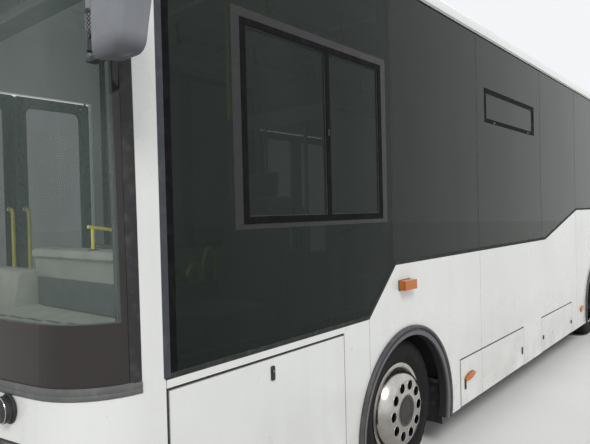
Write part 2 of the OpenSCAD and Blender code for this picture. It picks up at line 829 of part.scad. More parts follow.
// Twin wheels: both discs meet between the tyres, and the hub stands out through them
module twin_rim_shape() difference() {
  rotate([-90, 0, 0]) rotate_extrude($fn = 96) {
    meet = -twin_pitch / 2;
    for (at = [0, -twin_pitch]) barrel_face(at);
    translate([twin_hub_r - 1, meet - 9]) square([rim_r - 14 - twin_hub_r, 18]);
    translate([rim_r - 22, -twin_pitch + rim_half - 1]) square([8, twin_pitch - 2 * rim_half + 2]);
    translate([rear_spindle_r + run_fit, meet - 90]) square([twin_hub_r - rear_spindle_r - run_fit, 90 - meet + 10]);
    translate([0, 8]) square([twin_hub_r - 18, 26]);
  }
  hand_holes(twin_hub_r + 66, -twin_pitch / 2 - 45);
}

module front_wheel_place(s) translate([axle_f, s * tyre_y, hub_z]) rotate([0, 0, s > 0 ? 0 : 180]) children();
module rear_wheel_place(s) translate([axle_r, s * tyre_y, hub_z]) rotate([0, 0, s > 0 ? 0 : 180]) children();

module front_tyre(s) color([0.07, 0.07, 0.07]) front_wheel_place(s) tyre();
module front_rim(s) color([0.75, 0.76, 0.77]) front_wheel_place(s) front_rim_shape();

module rear_tyres(s) color([0.07, 0.07, 0.07]) rear_wheel_place(s) {
  tyre();
  translate([0, -twin_pitch, 0]) tyre();
}

module rear_rims(s) color([0.75, 0.76, 0.77]) rear_wheel_place(s) twin_rim_shape();

// Stub axle: fork round the beam's eye, kingpin, spindle and steering arm
module knuckle(s) color([0.14, 0.14, 0.14]) translate([axle_f, s * king_y, hub_z]) rotate([0, 0, s > 0 ? 0 : 180]) {
  cylinder(r = kingpin_r, h = 214, center = true);
  for (z = [-1, 1]) translate([0, 0, z * 96]) {
    cylinder(r = 40, h = 24, center = true);
    translate([-35, 0, -12]) cube([70, 72, 24]);
  }
  translate([-35, 56, -108]) cube([70, 22, 216]);
  rotate([-90, 0, 0]) translate([0, 0, 60]) cylinder(r = spindle_r, h = kingpin_in + 4);
  translate([-8, -20, -108]) cube([16, 30, 12]);
  translate([-20, -14, -108]) cube([40, 70, 12]);
}

// Doors: each leaf's hinge place, direction of its free edge and length

function leaf_len(l) = (l - 3 * leaf_gap) / 2;
DOOR_HINGE = 0;
DOOR_DIR = 1;
DOOR_LEN = 2;
door_leaves = [
  [seam_f + 4, 1, leaf_len(front_door_l)],
  [seam_f + 4 + front_door_l, -1, leaf_len(front_door_l)],
  [axle_f + mid_door_x, 1, leaf_len(mid_door_l)],
  [axle_f + mid_door_x + mid_door_l, -1, leaf_len(mid_door_l)]
];
leaf_z = door_foot + leaf_end_gap;
leaf_h = door_top - door_foot - 2 * leaf_end_gap;

module leaf_place(d) translate([d[DOOR_HINGE], side_y, leaf_z]) mirror([d[DOOR_DIR] < 0 ? 1 : 0, 0, 0])
  translate([leaf_gap, 0, 0]) children();

module leaf_glass_outline(d, grow) translate([leaf_frame - grow, leaf_frame + 40 - grow])
  rounded(d[DOOR_LEN] - 2 * leaf_frame + 2 * grow, leaf_h - 2 * leaf_frame - 40 + 2 * grow, 60);

module leaf_pins(d, grow) leaf_place(d) translate([leaf_t / 2, -leaf_t / 2, -leaf_end_gap - 14])
  cylinder(r = pin_r + grow, h = leaf_h + 2 * leaf_end_gap + 28);

module door_leaf(d) color([0.08, 0.08, 0.085]) {
  leaf_place(d) difference() {
    translate([0, -leaf_t, 0]) cube([d[DOOR_LEN], leaf_t, leaf_h]);
    upright(-leaf_t - 1, 1) leaf_glass_outline(d, 0);
    upright(-glass_t - 4, 1) leaf_glass_outline(d, 12);
  }
  difference() {
    leaf_pins(d, 0);
    leaf_place(d) translate([-40, -leaf_t - 20, 2]) cube([120, leaf_t + 40, leaf_h - 4]);
  }
}

module door_glass(d) color([0.1, 0.12, 0.11, 0.6]) leaf_place(d)
  upright(-glass_t - 4, -4) leaf_glass_outline(d, 12 - shape_gap);

// Service lids

lid_pin_in = 14;

module lid_pins(l, grow) translate([axle_f + l[LID_START] - lid_gap - 14, lid_pin_in - side_y, l[LID_TOP] - lid_pin_in])
  rotate([0, 90, 0]) cylinder(r = pin_r + grow, h = l[LID_LENGTH] + 2 * lid_gap + 28);

module service_lid(l) color([0.93, 0.93, 0.91]) {
  translate([axle_f + l[LID_START], -side_y, skirt_z + 4]) cube([l[LID_LENGTH], lid_t, l[LID_TOP] - skirt_z - 4]);
  difference() {
    lid_pins(l, 0);
    translate([axle_f + l[LID_START] + 2, -side_y - 20, 0]) cube([l[LID_LENGTH] - 4, lid_t + 60, roof_h]);
  }
}

marker_w = 106;
marker_h = 44;
marker_turn = 14;

module oval(w, h) {
  square([w - h, h], center = true);
  for (s = [-1, 1]) translate([s * (w - h) / 2, 0]) circle(h / 2);
}

module lid_marker() color([0.95, 0.5, 0.1]) translate([axle_f + 860, -side_y, 410]) rotate([90, 0, 0])
  rotate([0, 0, marker_turn]) linear_extrude(16) oval(marker_w, marker_h);

// The lid's hinge line lies inside its outer face at its ends, so the bowed middle swings up past it
engine_pin_in = tail_r - sqrt(pow(tail_r, 2) - pow(engine_lid_y, 2)) + lid_pin_in;
engine_pin_down = 60;
engine_top_gap = sqrt(pow(engine_pin_in, 2) + pow(engine_pin_down, 2)) - engine_pin_down + 6.5;

module engine_lid_pins(grow) translate([tail_x - engine_pin_in, 0, engine_lid_z + engine_lid_h - engine_pin_down])
  rotate([90, 0, 0]) cylinder(r = pin_r + grow, h = 2 * (engine_lid_y + lid_gap + 14), center = true);

module engine_lid() color([0.93, 0.93, 0.91]) {
  intersection() {
    tail_layer(0, lid_t);
    from_rear() difference() {
      translate([-engine_lid_y, engine_lid_z]) square([2 * engine_lid_y, engine_lid_h]);
      // Finger hold
      translate([-80, engine_lid_z - 1]) square([160, 26]);
      for (i = [0 : 7]) for (s = [-1, 1])
        translate([s * 340 - 280, engine_lid_z + 420 + i * louvre_pitch]) square([560, 18]);
    }
  }
  difference() {
    engine_lid_pins(0);
    translate([tail_seam, 2 - engine_lid_y, 0]) cube([body_l, 2 * engine_lid_y - 4, roof_h]);
  }
}

// Cab and saloon

wheel_x = axle_f - 1400;
wheel_z = 1330;
column_r = 30;
shaft_r = 14;

module steering_wheel() color([0.05, 0.05, 0.05])
  translate([wheel_x, -driver_y, wheel_z]) rotate([0, wheel_tilt, 0]) {
    rotate_extrude() translate([wheel_r - 14, 0]) circle(14);
    for (a = [0 : 120 : 240]) rotate([0, 0, a]) translate([0, -18, -12]) cube([wheel_r - 14, 36, 10]);
    translate([0, 0, -34]) cylinder(r = 62, h = 40);
    translate([0, 0, -120]) cylinder(r = shaft_r, h = 100);
  }

dash_l = 420;
cowl_h = 280;
cowl_top_l = 70;
dash_right = side_y - 700;
platform_y = 310 - driver_y;

module dashboard() color([0.45, 0.46, 0.42]) {
  difference() {
    intersection() {
      body_solid(wall_t + 12);
      translate([nose_x, 20 - inner_y, floor_z]) cube([dash_l, inner_y - 20 + dash_right, dash_top - floor_z]);
    }
    intersection() {
      body_solid(wall_t + 40);
      translate([nose_x, 50 - inner_y, floor_z - 1])
        cube([dash_l - 30, inner_y - 80 + dash_right, dash_top - 40 - floor_z]);
    }
    translate([nose_x, -side_y, 0]) cube([body_l, side_y + platform_y, cab_floor]);
  }
  // Cowl that rises from the windscreen's foot to the instruments
  intersection() {
    body_solid(wall_t + 12);
    upright(20 - inner_y, dash_right) translate([nose_x, dash_top]) polygon([
      [100, -20], [100, 0], [dash_l - cowl_top_l, cowl_h], [dash_l, cowl_h], [dash_l + 40, -20]
    ]);
  }
  translate([nose_x + dash_l, -driver_y - 260, dash_top - 70]) cube([200, 520, 60]);
  // Column shroud up to the steering wheel, with a bore for its shaft
  translate([wheel_x, -driver_y, wheel_z]) rotate([0, wheel_tilt, 0]) difference() {
    translate([0, 0, -430]) cylinder(r = column_r + 14, h = 380);
    translate([0, 0, -130]) cylinder(r = shaft_r + run_fit, h = 200);
  }
  translate([nose_x + dash_l - 20, -driver_y - 60, dash_top - 130]) cube([180, 120, 80]);
}

driver_seat_w = 480;
driver_seat_h = 400;
driver_pan_t = 90;
driver_back_h = 620;
driver_back_t = 80;
driver_lean = 8;
driver_post_w = 300;
driver_reach = 405;

// Driver's seat: pan on its post, back and headrest, its middle driver_reach behind the steering wheel's
module driver_seat() color([0.1, 0.11, 0.14]) translate([wheel_x + driver_reach, -driver_y, cab_floor]) {
  half_w = driver_seat_w / 2;
  translate([10 - half_w, -half_w, driver_seat_h]) cube([driver_seat_w, driver_seat_w, driver_pan_t]);
  translate([half_w - 5, 10 - half_w, driver_seat_h + 30]) rotate([0, driver_lean, 0])
    cube([driver_back_t, driver_seat_w - 20, driver_back_h]);
  translate([half_w - 5 + driver_back_h * sin(driver_lean) - 10, -130, driver_seat_h + driver_back_h + 10])
    rotate([0, driver_lean, 0]) cube([60, 260, 150]);
  translate([-driver_post_w / 2, -driver_post_w / 2, 0]) cube([driver_post_w, driver_post_w, driver_seat_h + 1]);
}

module passenger_seat() {
  translate([-seat_l / 2, -seat_w / 2 + 5, seat_h - seat_t]) cube([seat_l, seat_w - 10, seat_t]);
  translate([seat_l / 2 - seat_t - 6, -seat_w / 2 + 5, seat_h - seat_t / 2]) rotate([0, 8, 0])
    cube([seat_t, seat_w - 10, seat_back + seat_t / 2]);
  translate([-40, -60, 0]) cube([80, 120, seat_h - seat_t + 1]);
}

module passenger_seats() color([0.1, 0.2, 0.45]) for (row = seat_rows) for (y = row[ROW_SEATS])
  translate([row[ROW_X], y, row[ROW_FLOOR]]) passenger_seat();

module grab_rails() color([0.9, 0.72, 0.05]) {
  ceiling = roof_h - wall_t - 40;
  for (p = poles) translate([p[POLE_X], p[POLE_Y], floor_z]) cylinder(r = rail_r, h = ceiling - floor_z);
}

partition_t = 28;
partition_h = 1500;

// Screen behind the driver, with a window
module cab_partition() color([0.3, 0.31, 0.32])
  translate([axle_f - 580, 12 - inner_y, cab_floor]) difference() {
    cube([partition_t, inner_y + platform_y - 30, partition_h]);
    translate([-1, 70, partition_h / 2]) cube([partition_t + 2, inner_y + platform_y - 170, partition_h / 2 - 80]);
  }

// Outside fittings

mirror_h = 400;
mirror_w = 210;
mirror_t = 95;
mirror_z = screen_top - 700;
mirror_out = 160;
arm_r = 15;

arm_in = 20;
arm_z = 640;
foot_x = screen_edge - 45;

// Housing's outline from the front, its outboard edge drawn in towards the foot
mirror_foot_w = mirror_w * 0.84;
mirror_knee = mirror_h * 0.62;

module mirror_outline() intersection() {
  rounded(mirror_w, mirror_h, 45);
  polygon([[0, 0], [mirror_foot_w, 0], [mirror_w, mirror_knee], [mirror_w, mirror_h], [0, mirror_h]]);
}

// Housing, its upright tube with two clamps, and the arm back to a foot on the screen's side post
module mirror_set() {
  house_x = axle_f - 1941;
  tube_y = side_y + mirror_out - mirror_w / 2 - arm_in;
  translate([house_x - mirror_t / 2, side_y + mirror_out - mirror_w / 2, mirror_z]) rotate([90, 0, 90])
    linear_extrude(mirror_t) mirror_outline();
  translate([house_x, tube_y, mirror_z + 100]) cylinder(r = arm_r, h = arm_z - 100);
  for (z = [150, 330]) translate([house_x - 13, tube_y - 18, mirror_z + z - 30]) cube([26, arm_in + 20, 60]);
  translate([house_x, tube_y, mirror_z + arm_z]) sphere(arm_r);
  translate([house_x, tube_y, mirror_z + arm_z]) rotate([0, 90, 0])
    cylinder(r = arm_r, h = axle_f - foot_x - house_x);
  translate([axle_f - foot_x, tube_y, mirror_z + arm_z]) sphere(arm_r);
  difference() {
    translate([axle_f - foot_x, tube_y, mirror_z + arm_z]) rotate([90, 0, 0]) cylinder(r = 24, h = tube_y - side_y + 30);
    body_solid(-shape_gap);
  }
}

module mirrors() color([0.12, 0.12, 0.13]) both_sides() mirror_set();

wiper_pivots = [-820, 60];
wiper_hub_r = 44;
wiper_reach = 520;
blade_l = 800;

// Parked wipers: each arm leaves its hub towards the door side and its blade lies on the glass's lower edge
module wipers() color([0.05, 0.05, 0.05]) for (y = wiper_pivots) {
  face = nose_at(wiper_z) + nose_r - sqrt(pow(nose_r, 2) - pow(y, 2));
  translate([face - wiper_out, y, wiper_z]) rotate([0, 90, 0]) cylinder(r = wiper_hub_r, h = wiper_out + wall_t);
  intersection() {
    nose_layer(6 - wiper_out, 16 - wiper_out);
    from_front() translate([y, wiper_z]) rotate(15) translate([0, -10]) square([wiper_reach, 20]);
  }
  intersection() {
    nose_layer(10 - wiper_out, glass_sunk - shape_gap);
    from_front() translate([y + wiper_reach - blade_l / 2 - 10, screen_z + 50]) square([blade_l, 14]);
  }
}

module lamps() {
  color([0.8, 0.85, 0.88]) intersection() {
    nose_layer(3, wall_t);
    from_front() lamp_face(lamp_in, lamp_w, lamp_z, lamp_h, -shape_gap);
  }
  color([0.6, 0.05, 0.04]) intersection() {
    layer(-4, wall_t);
    from_rear() lamp_face(tail_lamp_y, tail_lamp_w, tail_lamp_z, tail_lamp_h, -shape_gap);
  }
  color([0.95, 0.5, 0.1]) both_sides() {
    translate([axle_f - 104, side_y, 1108]) cube([132, 44, 52]);
    translate([axle_r - 720, side_y, 420]) rotate([-90, 0, 0]) rotate([0, 0, -marker_turn])
      linear_extrude(16) oval(marker_w, marker_h);
  }
}

underframe();
floor_deck();  // floor
wheel_housings();
left_side();
right_side();
front_panels();
rear_panels();
roof();
window_frames();
windscreen();
side_glass();
rear_glass();
arch_trims();
engine();
axles();
dashboard();
driver_seat();
passenger_seats();
grab_rails();
cab_partition();
mirrors();
wipers();
lamps();
steering_wheel();
knuckle(-1);  // left_knuckle
knuckle(1);  // right_knuckle
front_tyre(-1);  // front_left_tyre
front_rim(-1);  // front_left_rim
front_tyre(1);  // front_right_tyre
front_rim(1);  // front_right_rim
rear_tyres(-1);  // rear_left_tyres
rear_rims(-1);  // rear_left_rims
rear_tyres(1);  // rear_right_tyres
rear_rims(1);  // rear_right_rims
door_leaf(door_leaves[0]);  // front_door_leaf_1
door_glass(door_leaves[0]);  // front_door_glass_1
door_leaf(door_leaves[1]);  // front_door_leaf_2
door_glass(door_leaves[1]);  // front_door_glass_2
door_leaf(door_leaves[2]);  // mid_door_leaf_1
door_glass(door_leaves[2]);  // mid_door_glass_1
door_leaf(door_leaves[3]);  // mid_door_leaf_2
door_glass(door_leaves[3]);  // mid_door_glass_2
service_lid(lids[0]);  // battery_lid
service_lid(lids[1]);  // locker_lid
service_lid(lids[2]);  // heater_lid
lid_marker();
engine_lid();
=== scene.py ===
import json
import math
from itertools import product

import bpy
from mathutils import Matrix, Vector


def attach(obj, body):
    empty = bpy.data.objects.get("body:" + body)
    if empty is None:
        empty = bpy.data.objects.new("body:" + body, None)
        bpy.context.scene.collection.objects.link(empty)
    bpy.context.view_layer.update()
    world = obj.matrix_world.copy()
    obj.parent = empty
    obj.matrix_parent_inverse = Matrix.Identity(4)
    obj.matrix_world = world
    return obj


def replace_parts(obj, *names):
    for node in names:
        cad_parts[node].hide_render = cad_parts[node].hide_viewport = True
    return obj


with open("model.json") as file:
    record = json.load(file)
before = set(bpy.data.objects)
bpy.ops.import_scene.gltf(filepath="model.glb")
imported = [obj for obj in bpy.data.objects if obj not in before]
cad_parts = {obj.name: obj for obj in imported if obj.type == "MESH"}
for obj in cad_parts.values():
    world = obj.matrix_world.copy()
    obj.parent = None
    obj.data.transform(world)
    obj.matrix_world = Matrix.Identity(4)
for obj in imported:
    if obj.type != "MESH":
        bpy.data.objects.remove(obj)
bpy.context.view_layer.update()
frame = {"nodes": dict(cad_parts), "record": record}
NODES = frame["nodes"]

MM = 0.001
ROOT = "chassis"
SIDES = ((-1, "left"), (1, "right"))
UP = Vector((0, 0, 1))

# Places the CAD source gives, in metres
AXLE_F, AXLE_R = -2.460, 2.160
NOSE, TAIL, SIDE = -4.600, 4.600, 1.180
SKIRT, LEAN = 0.230, math.radians(2.5)
NOSE_R, CORNER_R = 5.2, 0.275
TYRE_Y, HUB_Z, TWIN = 0.990, 0.405, 0.285
SCREEN_EDGE, PILLAR_EDGE = AXLE_F - 1.777, AXLE_F - 1.682
SCREEN_Z, SCREEN_TOP, GLASS_TOP = 0.990, 2.700, 2.786
ARCH_Z, ARCH_R = 0.360, 0.534
REAR_JOINT, TAIL_JOINT = 3.725, 5.2075
PANEL_FOOT = 0.236
CORNER_Y = SIDE - CORNER_R
CORNER_X = NOSE_R - math.sqrt((NOSE_R - CORNER_R) ** 2 - CORNER_Y ** 2)
TOUCH = math.asin(CORNER_Y / (NOSE_R - CORNER_R))
TOUCH_Y = NOSE_R * math.sin(TOUCH)
# Each service lid: its start from the front axle, length, top and the opening's gap ahead of it
LIDS = {
    "battery_lid": (-1.668, 1.028, 0.955, 0.040),
    "locker_lid": (0.700, 1.270, 0.541, 0.016),
    "heater_lid": (2.467, 1.043, 0.540, 0.007),
}


# Materials

class Nodes:
    """Node graph of one material, on coordinates in metres."""

    def __init__(self, name):
        self.mat = bpy.data.materials.new(name)
        self.mat.use_nodes = True
        self.tree = self.mat.node_tree
        self.bsdf = self.tree.nodes["Principled BSDF"]
        self.co = self.tree.nodes.new("ShaderNodeTexCoord").outputs["Object"]

    def node(self, kind, **values):
        n = self.tree.nodes.new("ShaderNode" + kind)
        for k, v in values.items():
            if hasattr(n, k):
                setattr(n, k, v)
            else:
                n.inputs[k].default_value = v
        return n

    def link(self, a, b):
        self.tree.links.new(a, b)

    def put(self, value, socket):
        """Sets a socket to a number or a colour, or links it."""
        if isinstance(value, tuple):
            socket.default_value = value + (1.0,)
        elif isinstance(value, (int, float)):
            socket.default_value = value
        else:
            self.link(value, socket)

    def texture(self, kind, scale, detail=3.0, stretch=None):
        where = self.co
        if stretch:
            m = self.node("Mapping")
            m.inputs["Scale"].default_value = stretch
            self.link(where, m.inputs["Vector"])
            where = m.outputs["Vector"]
        if kind == "noise":
            n = self.node("TexNoise", Scale=scale, Detail=detail)
        elif kind == "cells":
            n = self.node("TexVoronoi", Scale=scale)
        else:
            n = self.node("TexWave", Scale=scale, Distortion=detail)
        self.link(where, n.inputs["Vector"])
        return n.outputs["Distance" if kind == "cells" else "Fac"]

    def ramp(self, value, low, high, to=(0.0, 1.0)):
        n = self.node("MapRange")
        for i, v in enumerate((low, high) + tuple(to)):
            n.inputs[i + 1].default_value = v
        self.link(value, n.inputs[0])
        return n.outputs[0]

    def noise(self, scale, detail, low, high, to=(0.0, 1.0), stretch=None):
        return self.ramp(self.texture("noise", scale, detail, stretch), low, high, to)

    def math(self, op, a, b=None):
        n = self.node("Math", operation=op)
        for i, v in enumerate((a, b)):
            if v is not None:
                self.put(v, n.inputs[i])
        return n.outputs[0]

    def times(self, a, b):
        return self.math("MULTIPLY", a, b)

    def axis(self, name):
        n = self.node("SeparateXYZ")
        self.link(self.co, n.inputs[0])
        return n.outputs[name]

    def mix(self, mask, a, b):
        n = self.node("Mix", data_type="RGBA")
        self.put(a, n.inputs[6])
        self.put(b, n.inputs[7])
        self.link(mask, n.inputs[0])
        return n.outputs[2]

    def over(self, base, colour, mask, strength):
        """Lays a colour over the base where the mask is, at a strength."""
        return self.mix(self.times(mask, strength), base, colour)

    def bump(self, value, strength, distance, after=None):
        n = self.node("Bump", Strength=strength, Distance=distance)
        self.link(value, n.inputs["Height"])
        if after:
            self.link(after, n.inputs["Normal"])
        return n.outputs["Normal"]

    def grain(self, scale, detail, strength, distance, stretch=None, after=None):
        return self.bump(self.texture("noise", scale, detail, stretch), strength, distance, after)

    def finish(self, colour, rough, normal, alpha=None, **sockets):
        for socket, value in (("Base Color", colour), ("Roughness", rough), ("Normal", normal),
                              ("Alpha", alpha)):
            if value is not None:
                self.put(value, self.bsdf.inputs[socket])
        for k, v in sockets.items():
            self.bsdf.inputs[k.replace("_", " ")].default_value = v
        return self.mat


DUST = (0.28, 0.26, 0.23)


def paint():
    """White gloss paint with orange peel, grime low down, drip streaks and specks."""
    g = Nodes("white_paint")
    z = g.axis("Z")
    base = g.mix(g.noise(1.3, 4, 0.35, 0.75), (0.770, 0.780, 0.765), (0.700, 0.710, 0.690))
    base = g.over(base, (0.48, 0.47, 0.43), g.noise(1.0, 5, 0.55, 0.85, stretch=(14, 14, 0.8)), 0.16)
    base = g.over(base, (0.36, 0.345, 0.31),
                  g.times(g.ramp(z, 0.85, 0.22), g.noise(5.0, 8, 0.35, 0.80)), 0.55)
    base = g.over(base, (0.16, 0.13, 0.10),
                  g.times(g.noise(150, 2, 0.735, 0.775), g.ramp(z, 2.60, 1.60)), 0.75)
    wave = g.grain(1.6, 1, 0.10, 0.02, after=g.grain(260, 2, 0.05, 0.001))
    return g.finish(base, g.noise(4.0, 6, 0.3, 0.8, (0.24, 0.40)), wave, Coat_Weight=0.35,
                    Coat_Roughness=0.12)


def plain(name, colour, rough, grain, depth, dust, spread=0.25, metal=0.0, dust_colour=DUST, spots=9.0,
          size=0.0005, **sockets):
    """Moulded or rolled surface with a grain, worn variation and dust."""
    g = Nodes(name)
    base = g.mix(g.noise(spots, 6, 0.3, 0.75), colour, tuple(c * (1 - spread) for c in colour))
    base = g.over(base, dust_colour, g.noise(spots * 3.1, 9, 0.50, 0.85), dust)
    r = g.noise(spots * 2.3, 5, 0.25, 0.8, (max(rough - 0.09, 0.03), min(rough + 0.12, 1.0)))
    return g.finish(base, r, g.grain(grain, 2, depth, size), Metallic=metal, **sockets)


def glass(name, colour, alpha, dusty, gloss=0.30):
    """Tinted pane: body colour over what lies behind, water marks and dust."""
    g = Nodes(name)
    marks = g.noise(2.2, 8, 0.42, 0.80, stretch=(1, 1, 0.45))
    dots = g.noise(240, 2, 0.765, 0.80)
    base = g.over(colour, (0.42, 0.43, 0.40), marks, 0.06 * dusty)
    base = g.over(base, (0.50, 0.50, 0.46), dots, 0.5 * dusty)
    see = g.ramp(marks, 0, 1, (alpha, min(1.0, alpha + 0.05 * dusty)))
    see = g.math("MAXIMUM", see, g.times(dots, 0.8 * dusty))
    return g.finish(base, g.ramp(marks, 0, 1, (0.015, 0.05)), g.grain(0.9, 1, 0.02, 0.05), see,
                    IOR=1.52, Specular_IOR_Level=gloss)


def screen_glass():
    """Windscreen: greenish clear glass with a fired brown-black border."""
    g = Nodes("windscreen_glass")
    x, z = g.axis("X"), g.axis("Z")
    band = g.math("MAXIMUM", g.ramp(z, 1.222, 1.214), g.ramp(z, 2.562, 2.570))
    band = g.math("MAXIMUM", band, g.ramp(x, -4.301, -4.293))
    marks = g.noise(1.7, 8, 0.40, 0.80, stretch=(1, 1, 0.35))
    base = g.mix(band, g.mix(marks, (0.20, 0.27, 0.25), (0.36, 0.44, 0.42)), (0.020, 0.016, 0.015))
    see = g.math("MAXIMUM", band, g.ramp(marks, 0, 1, (0.11, 0.20)))
    return g.finish(base, g.ramp(marks, 0, 1, (0.01, 0.04)), g.grain(0.7, 1, 0.02, 0.05), see,
                    IOR=1.52, Specular_IOR_Level=0.45)


def mirror_shell():
    """Blue-grey moulded shell with dust, darkened along its foot by painted shade."""
    g = Nodes("mirror_shell")
    base = g.mix(g.noise(9.0, 6, 0.30, 0.75), (0.215, 0.225, 0.255), (0.180, 0.188, 0.212))
    base = g.over(base, DUST, g.noise(28, 9, 0.50, 0.85), 0.18)
    # Painted shade: the shell darkens towards its foot, below about 2.06 m.
    base = g.over(base, (0.045, 0.045, 0.050), g.ramp(g.axis("Z"), 2.062, 2.018), 0.72)
    return g.finish(base, g.noise(20, 5, 0.25, 0.80, (0.42, 0.60)), g.grain(380, 2, 0.25, 0.0005))


def arch_rubber():
    """Arch trim: a dark outer roll and a lighter inner lip, weathered, and painted shade where it turns in
    under the arch.
    """
    g = Nodes("arch_trim_rubber")
    x, dz = g.axis("X"), g.math("SUBTRACT", g.axis("Z"), ARCH_Z)
    reach = []
    for axle in (AXLE_F, AXLE_R):
        dx = g.math("SUBTRACT", x, axle)
        reach.append(g.math("SQRT", g.math("ADD", g.times(dx, dx), g.times(dz, dz))))
    inner = g.ramp(g.math("MINIMUM", *reach), 0.507, 0.499)
    worn = g.times(g.noise(14, 8, 0.45, 0.8), 0.4)
    base = g.mix(worn, g.mix(inner, (0.050, 0.050, 0.056), (0.105, 0.103, 0.110)), (0.20, 0.19, 0.185))
    # Painted shade: the trim goes near black where it turns inwards into the arch.
    turned_in_shade = g.ramp(g.math("ABSOLUTE", g.axis("Y")), SIDE + 0.002, SIDE - 0.006)
    base = g.mix(turned_in_shade, base, (0.022, 0.022, 0.024))
    return g.finish(base, g.ramp(worn, 0, 0.4, (0.42, 0.65)), g.grain(300, 3, 0.2, 0.0006))


def worn_tyre():
    """Black tread rubber with road dust, its base darkened below rubber's own colour as painted shade under
    the arch.
    """
    g = Nodes("worn_tyre")
    # Painted shade: the base colour is made darker to stand for the shade under the arch.
    base = g.mix(g.noise(16, 8, 0.35, 0.75), (0.007, 0.007, 0.008), (0.014, 0.014, 0.014))
    base = g.over(base, (0.034, 0.032, 0.029), g.noise(60, 6, 0.45, 0.75), 0.30)
    return g.finish(base, g.ramp(g.axis("Z"), 0, 0.8, (0.86, 0.70)), g.grain(500, 3, 0.25, 0.0006),
                    Specular_IOR_Level=0.22)


def polished():
    """Polished stainless wheel: fine turning marks, dust in spots, and a painted reflection of the tan ground
    on its lower half.
    """
    g = Nodes("polished_wheel")
    base = g.mix(g.noise(11, 6, 0.35, 0.8), (0.60, 0.585, 0.555), (0.43, 0.41, 0.38))
    base = g.over(base, (0.30, 0.27, 0.23), g.noise(45, 8, 0.5, 0.85), 0.35)
    # Painted reflection: the lower half is toned tan and darker, standing for the ground reflected in it.
    base = g.over(base, (0.27, 0.245, 0.215), g.ramp(g.axis("Z"), 0.455, 0.405), 0.55)
    return g.finish(base, g.noise(22, 8, 0.3, 0.85, (0.10, 0.30)), g.grain(700, 2, 0.03, 0.0004, (1, 0.2, 1)),
                    Metallic=1.0)


def lens(name, colour, rough=0.12):
    """Moulded lamp lens with fine vertical ribs inside."""
    g = Nodes(name)
    base = g.mix(g.ramp(g.texture("wave", 22, 0.0), 0.2, 0.9), colour, tuple(c * 0.55 for c in colour))
    dirt = g.times(g.noise(40, 7, 0.5, 0.9), 0.4)
    return g.finish(g.mix(dirt, base, (0.20, 0.16, 0.12)), g.ramp(dirt, 0, 0.4, (rough, 0.4)),
                    g.bump(g.texture("wave", 30, 0.0), 0.15, 0.001), Coat_Weight=0.25,
                    Specular_IOR_Level=0.30)


def weave(name, colour, accent):
    """Woven seat cloth: crossed threads, flecks and pilling."""
    g = Nodes(name)
    across, along = g.texture("wave", 260, 0.6), g.texture("wave", 1.0, 0.6, (0, 0, 820))
    base = g.mix(g.ramp(g.texture("cells", 90), 0.18, 0.30), accent, colour)
    base = g.over(base, tuple(c * 0.6 for c in colour), g.noise(8, 6, 0.35, 0.8), 0.4)
    return g.finish(base, 0.92, g.bump(g.times(across, g.math("ADD", along, 0.35)), 0.35, 0.0008),
                    Sheen_Weight=0.35, Sheen_Roughness=0.6)


PAINT = paint()
SCREEN = screen_glass()
TINT = glass("tinted_glass", (0.014, 0.020, 0.017), 0.86, 0.4, 0.14)
DRIVER_TINT = glass("driver_glass", (0.012, 0.019, 0.016), 0.66, 0.4, 0.16)
DOOR_TINT = glass("door_glass", (0.022, 0.030, 0.026), 0.66, 0.4)
COVER = glass("lamp_glass", (0.55, 0.58, 0.58), 0.16, 0.5, 0.45)
ARCH = arch_rubber()
TYRE = worn_tyre()
RIM = polished()
MIRROR_SHELL = mirror_shell()
AMBER = lens("amber_lens", (0.66, 0.175, 0.004))
RED = lens("red_lens", (0.55, 0.012, 0.010))
CLEAR = lens("clear_lens", (0.62, 0.66, 0.68), 0.05)
CLOTH = weave("seat_cloth", (0.165, 0.040, 0.026), (0.30, 0.15, 0.10))
DRIVER_CLOTH = weave("driver_cloth", (0.022, 0.025, 0.034), (0.09, 0.10, 0.12))
# Plain surfaces: colour, roughness, the grain's scale and depth, and dust
RUBBER = plain("seal_rubber", (0.016, 0.016, 0.018), 0.62, 350, 0.2, 0.16)
DEEP_BLACK = plain("deep_black", (0.005, 0.005, 0.006), 0.80, 350, 0.1, 0.04, Specular_IOR_Level=0.12)
EDGE_RUBBER = plain("edge_rubber", (0.040, 0.044, 0.060), 0.60, 350, 0.2, 0.18)
SEALANT = plain("sealant", (0.042, 0.046, 0.046), 0.85, 300, 0.2, 0.2, Specular_IOR_Level=0.10)
FAINT = plain("painted_joint", (0.330, 0.330, 0.320), 0.50, 300, 0.1, 0.3)
GREY_RUBBER = plain("grey_seal", (0.115, 0.118, 0.118), 0.66, 320, 0.2, 0.35)
BLACK = plain("satin_black", (0.020, 0.021, 0.024), 0.38, 500, 0.06, 0.12)
PRINTED = plain("printed_border", (0.013, 0.011, 0.014), 0.32, 500, 0.02, 0.06, Specular_IOR_Level=0.40)
FRAME = plain("frame_black", (0.012, 0.012, 0.014), 0.30, 500, 0.04, 0.08)
CHASSIS = plain("chassis_black", (0.030, 0.030, 0.032), 0.62, 120, 0.3, 0.5, dust_colour=(0.17, 0.14, 0.11))
HOUSING = plain("housing_coat", (0.018, 0.018, 0.019), 0.88, 150, 0.5, 0.45, dust_colour=(0.07, 0.065, 0.06),
                size=0.001)
LINO = plain("floor_lino", (0.145, 0.150, 0.160), 0.55, 600, 0.1, 0.3, spots=30)
CASTING = plain("engine_iron", (0.085, 0.085, 0.090), 0.60, 180, 0.4, 0.5, metal=0.4,
                dust_colour=(0.10, 0.075, 0.05))
DASH = plain("dash_plastic", (0.300, 0.315, 0.270), 0.60, 450, 0.3, 0.15)
DASH_DARK = plain("dash_dark", (0.045, 0.047, 0.050), 0.55, 450, 0.3, 0.15)
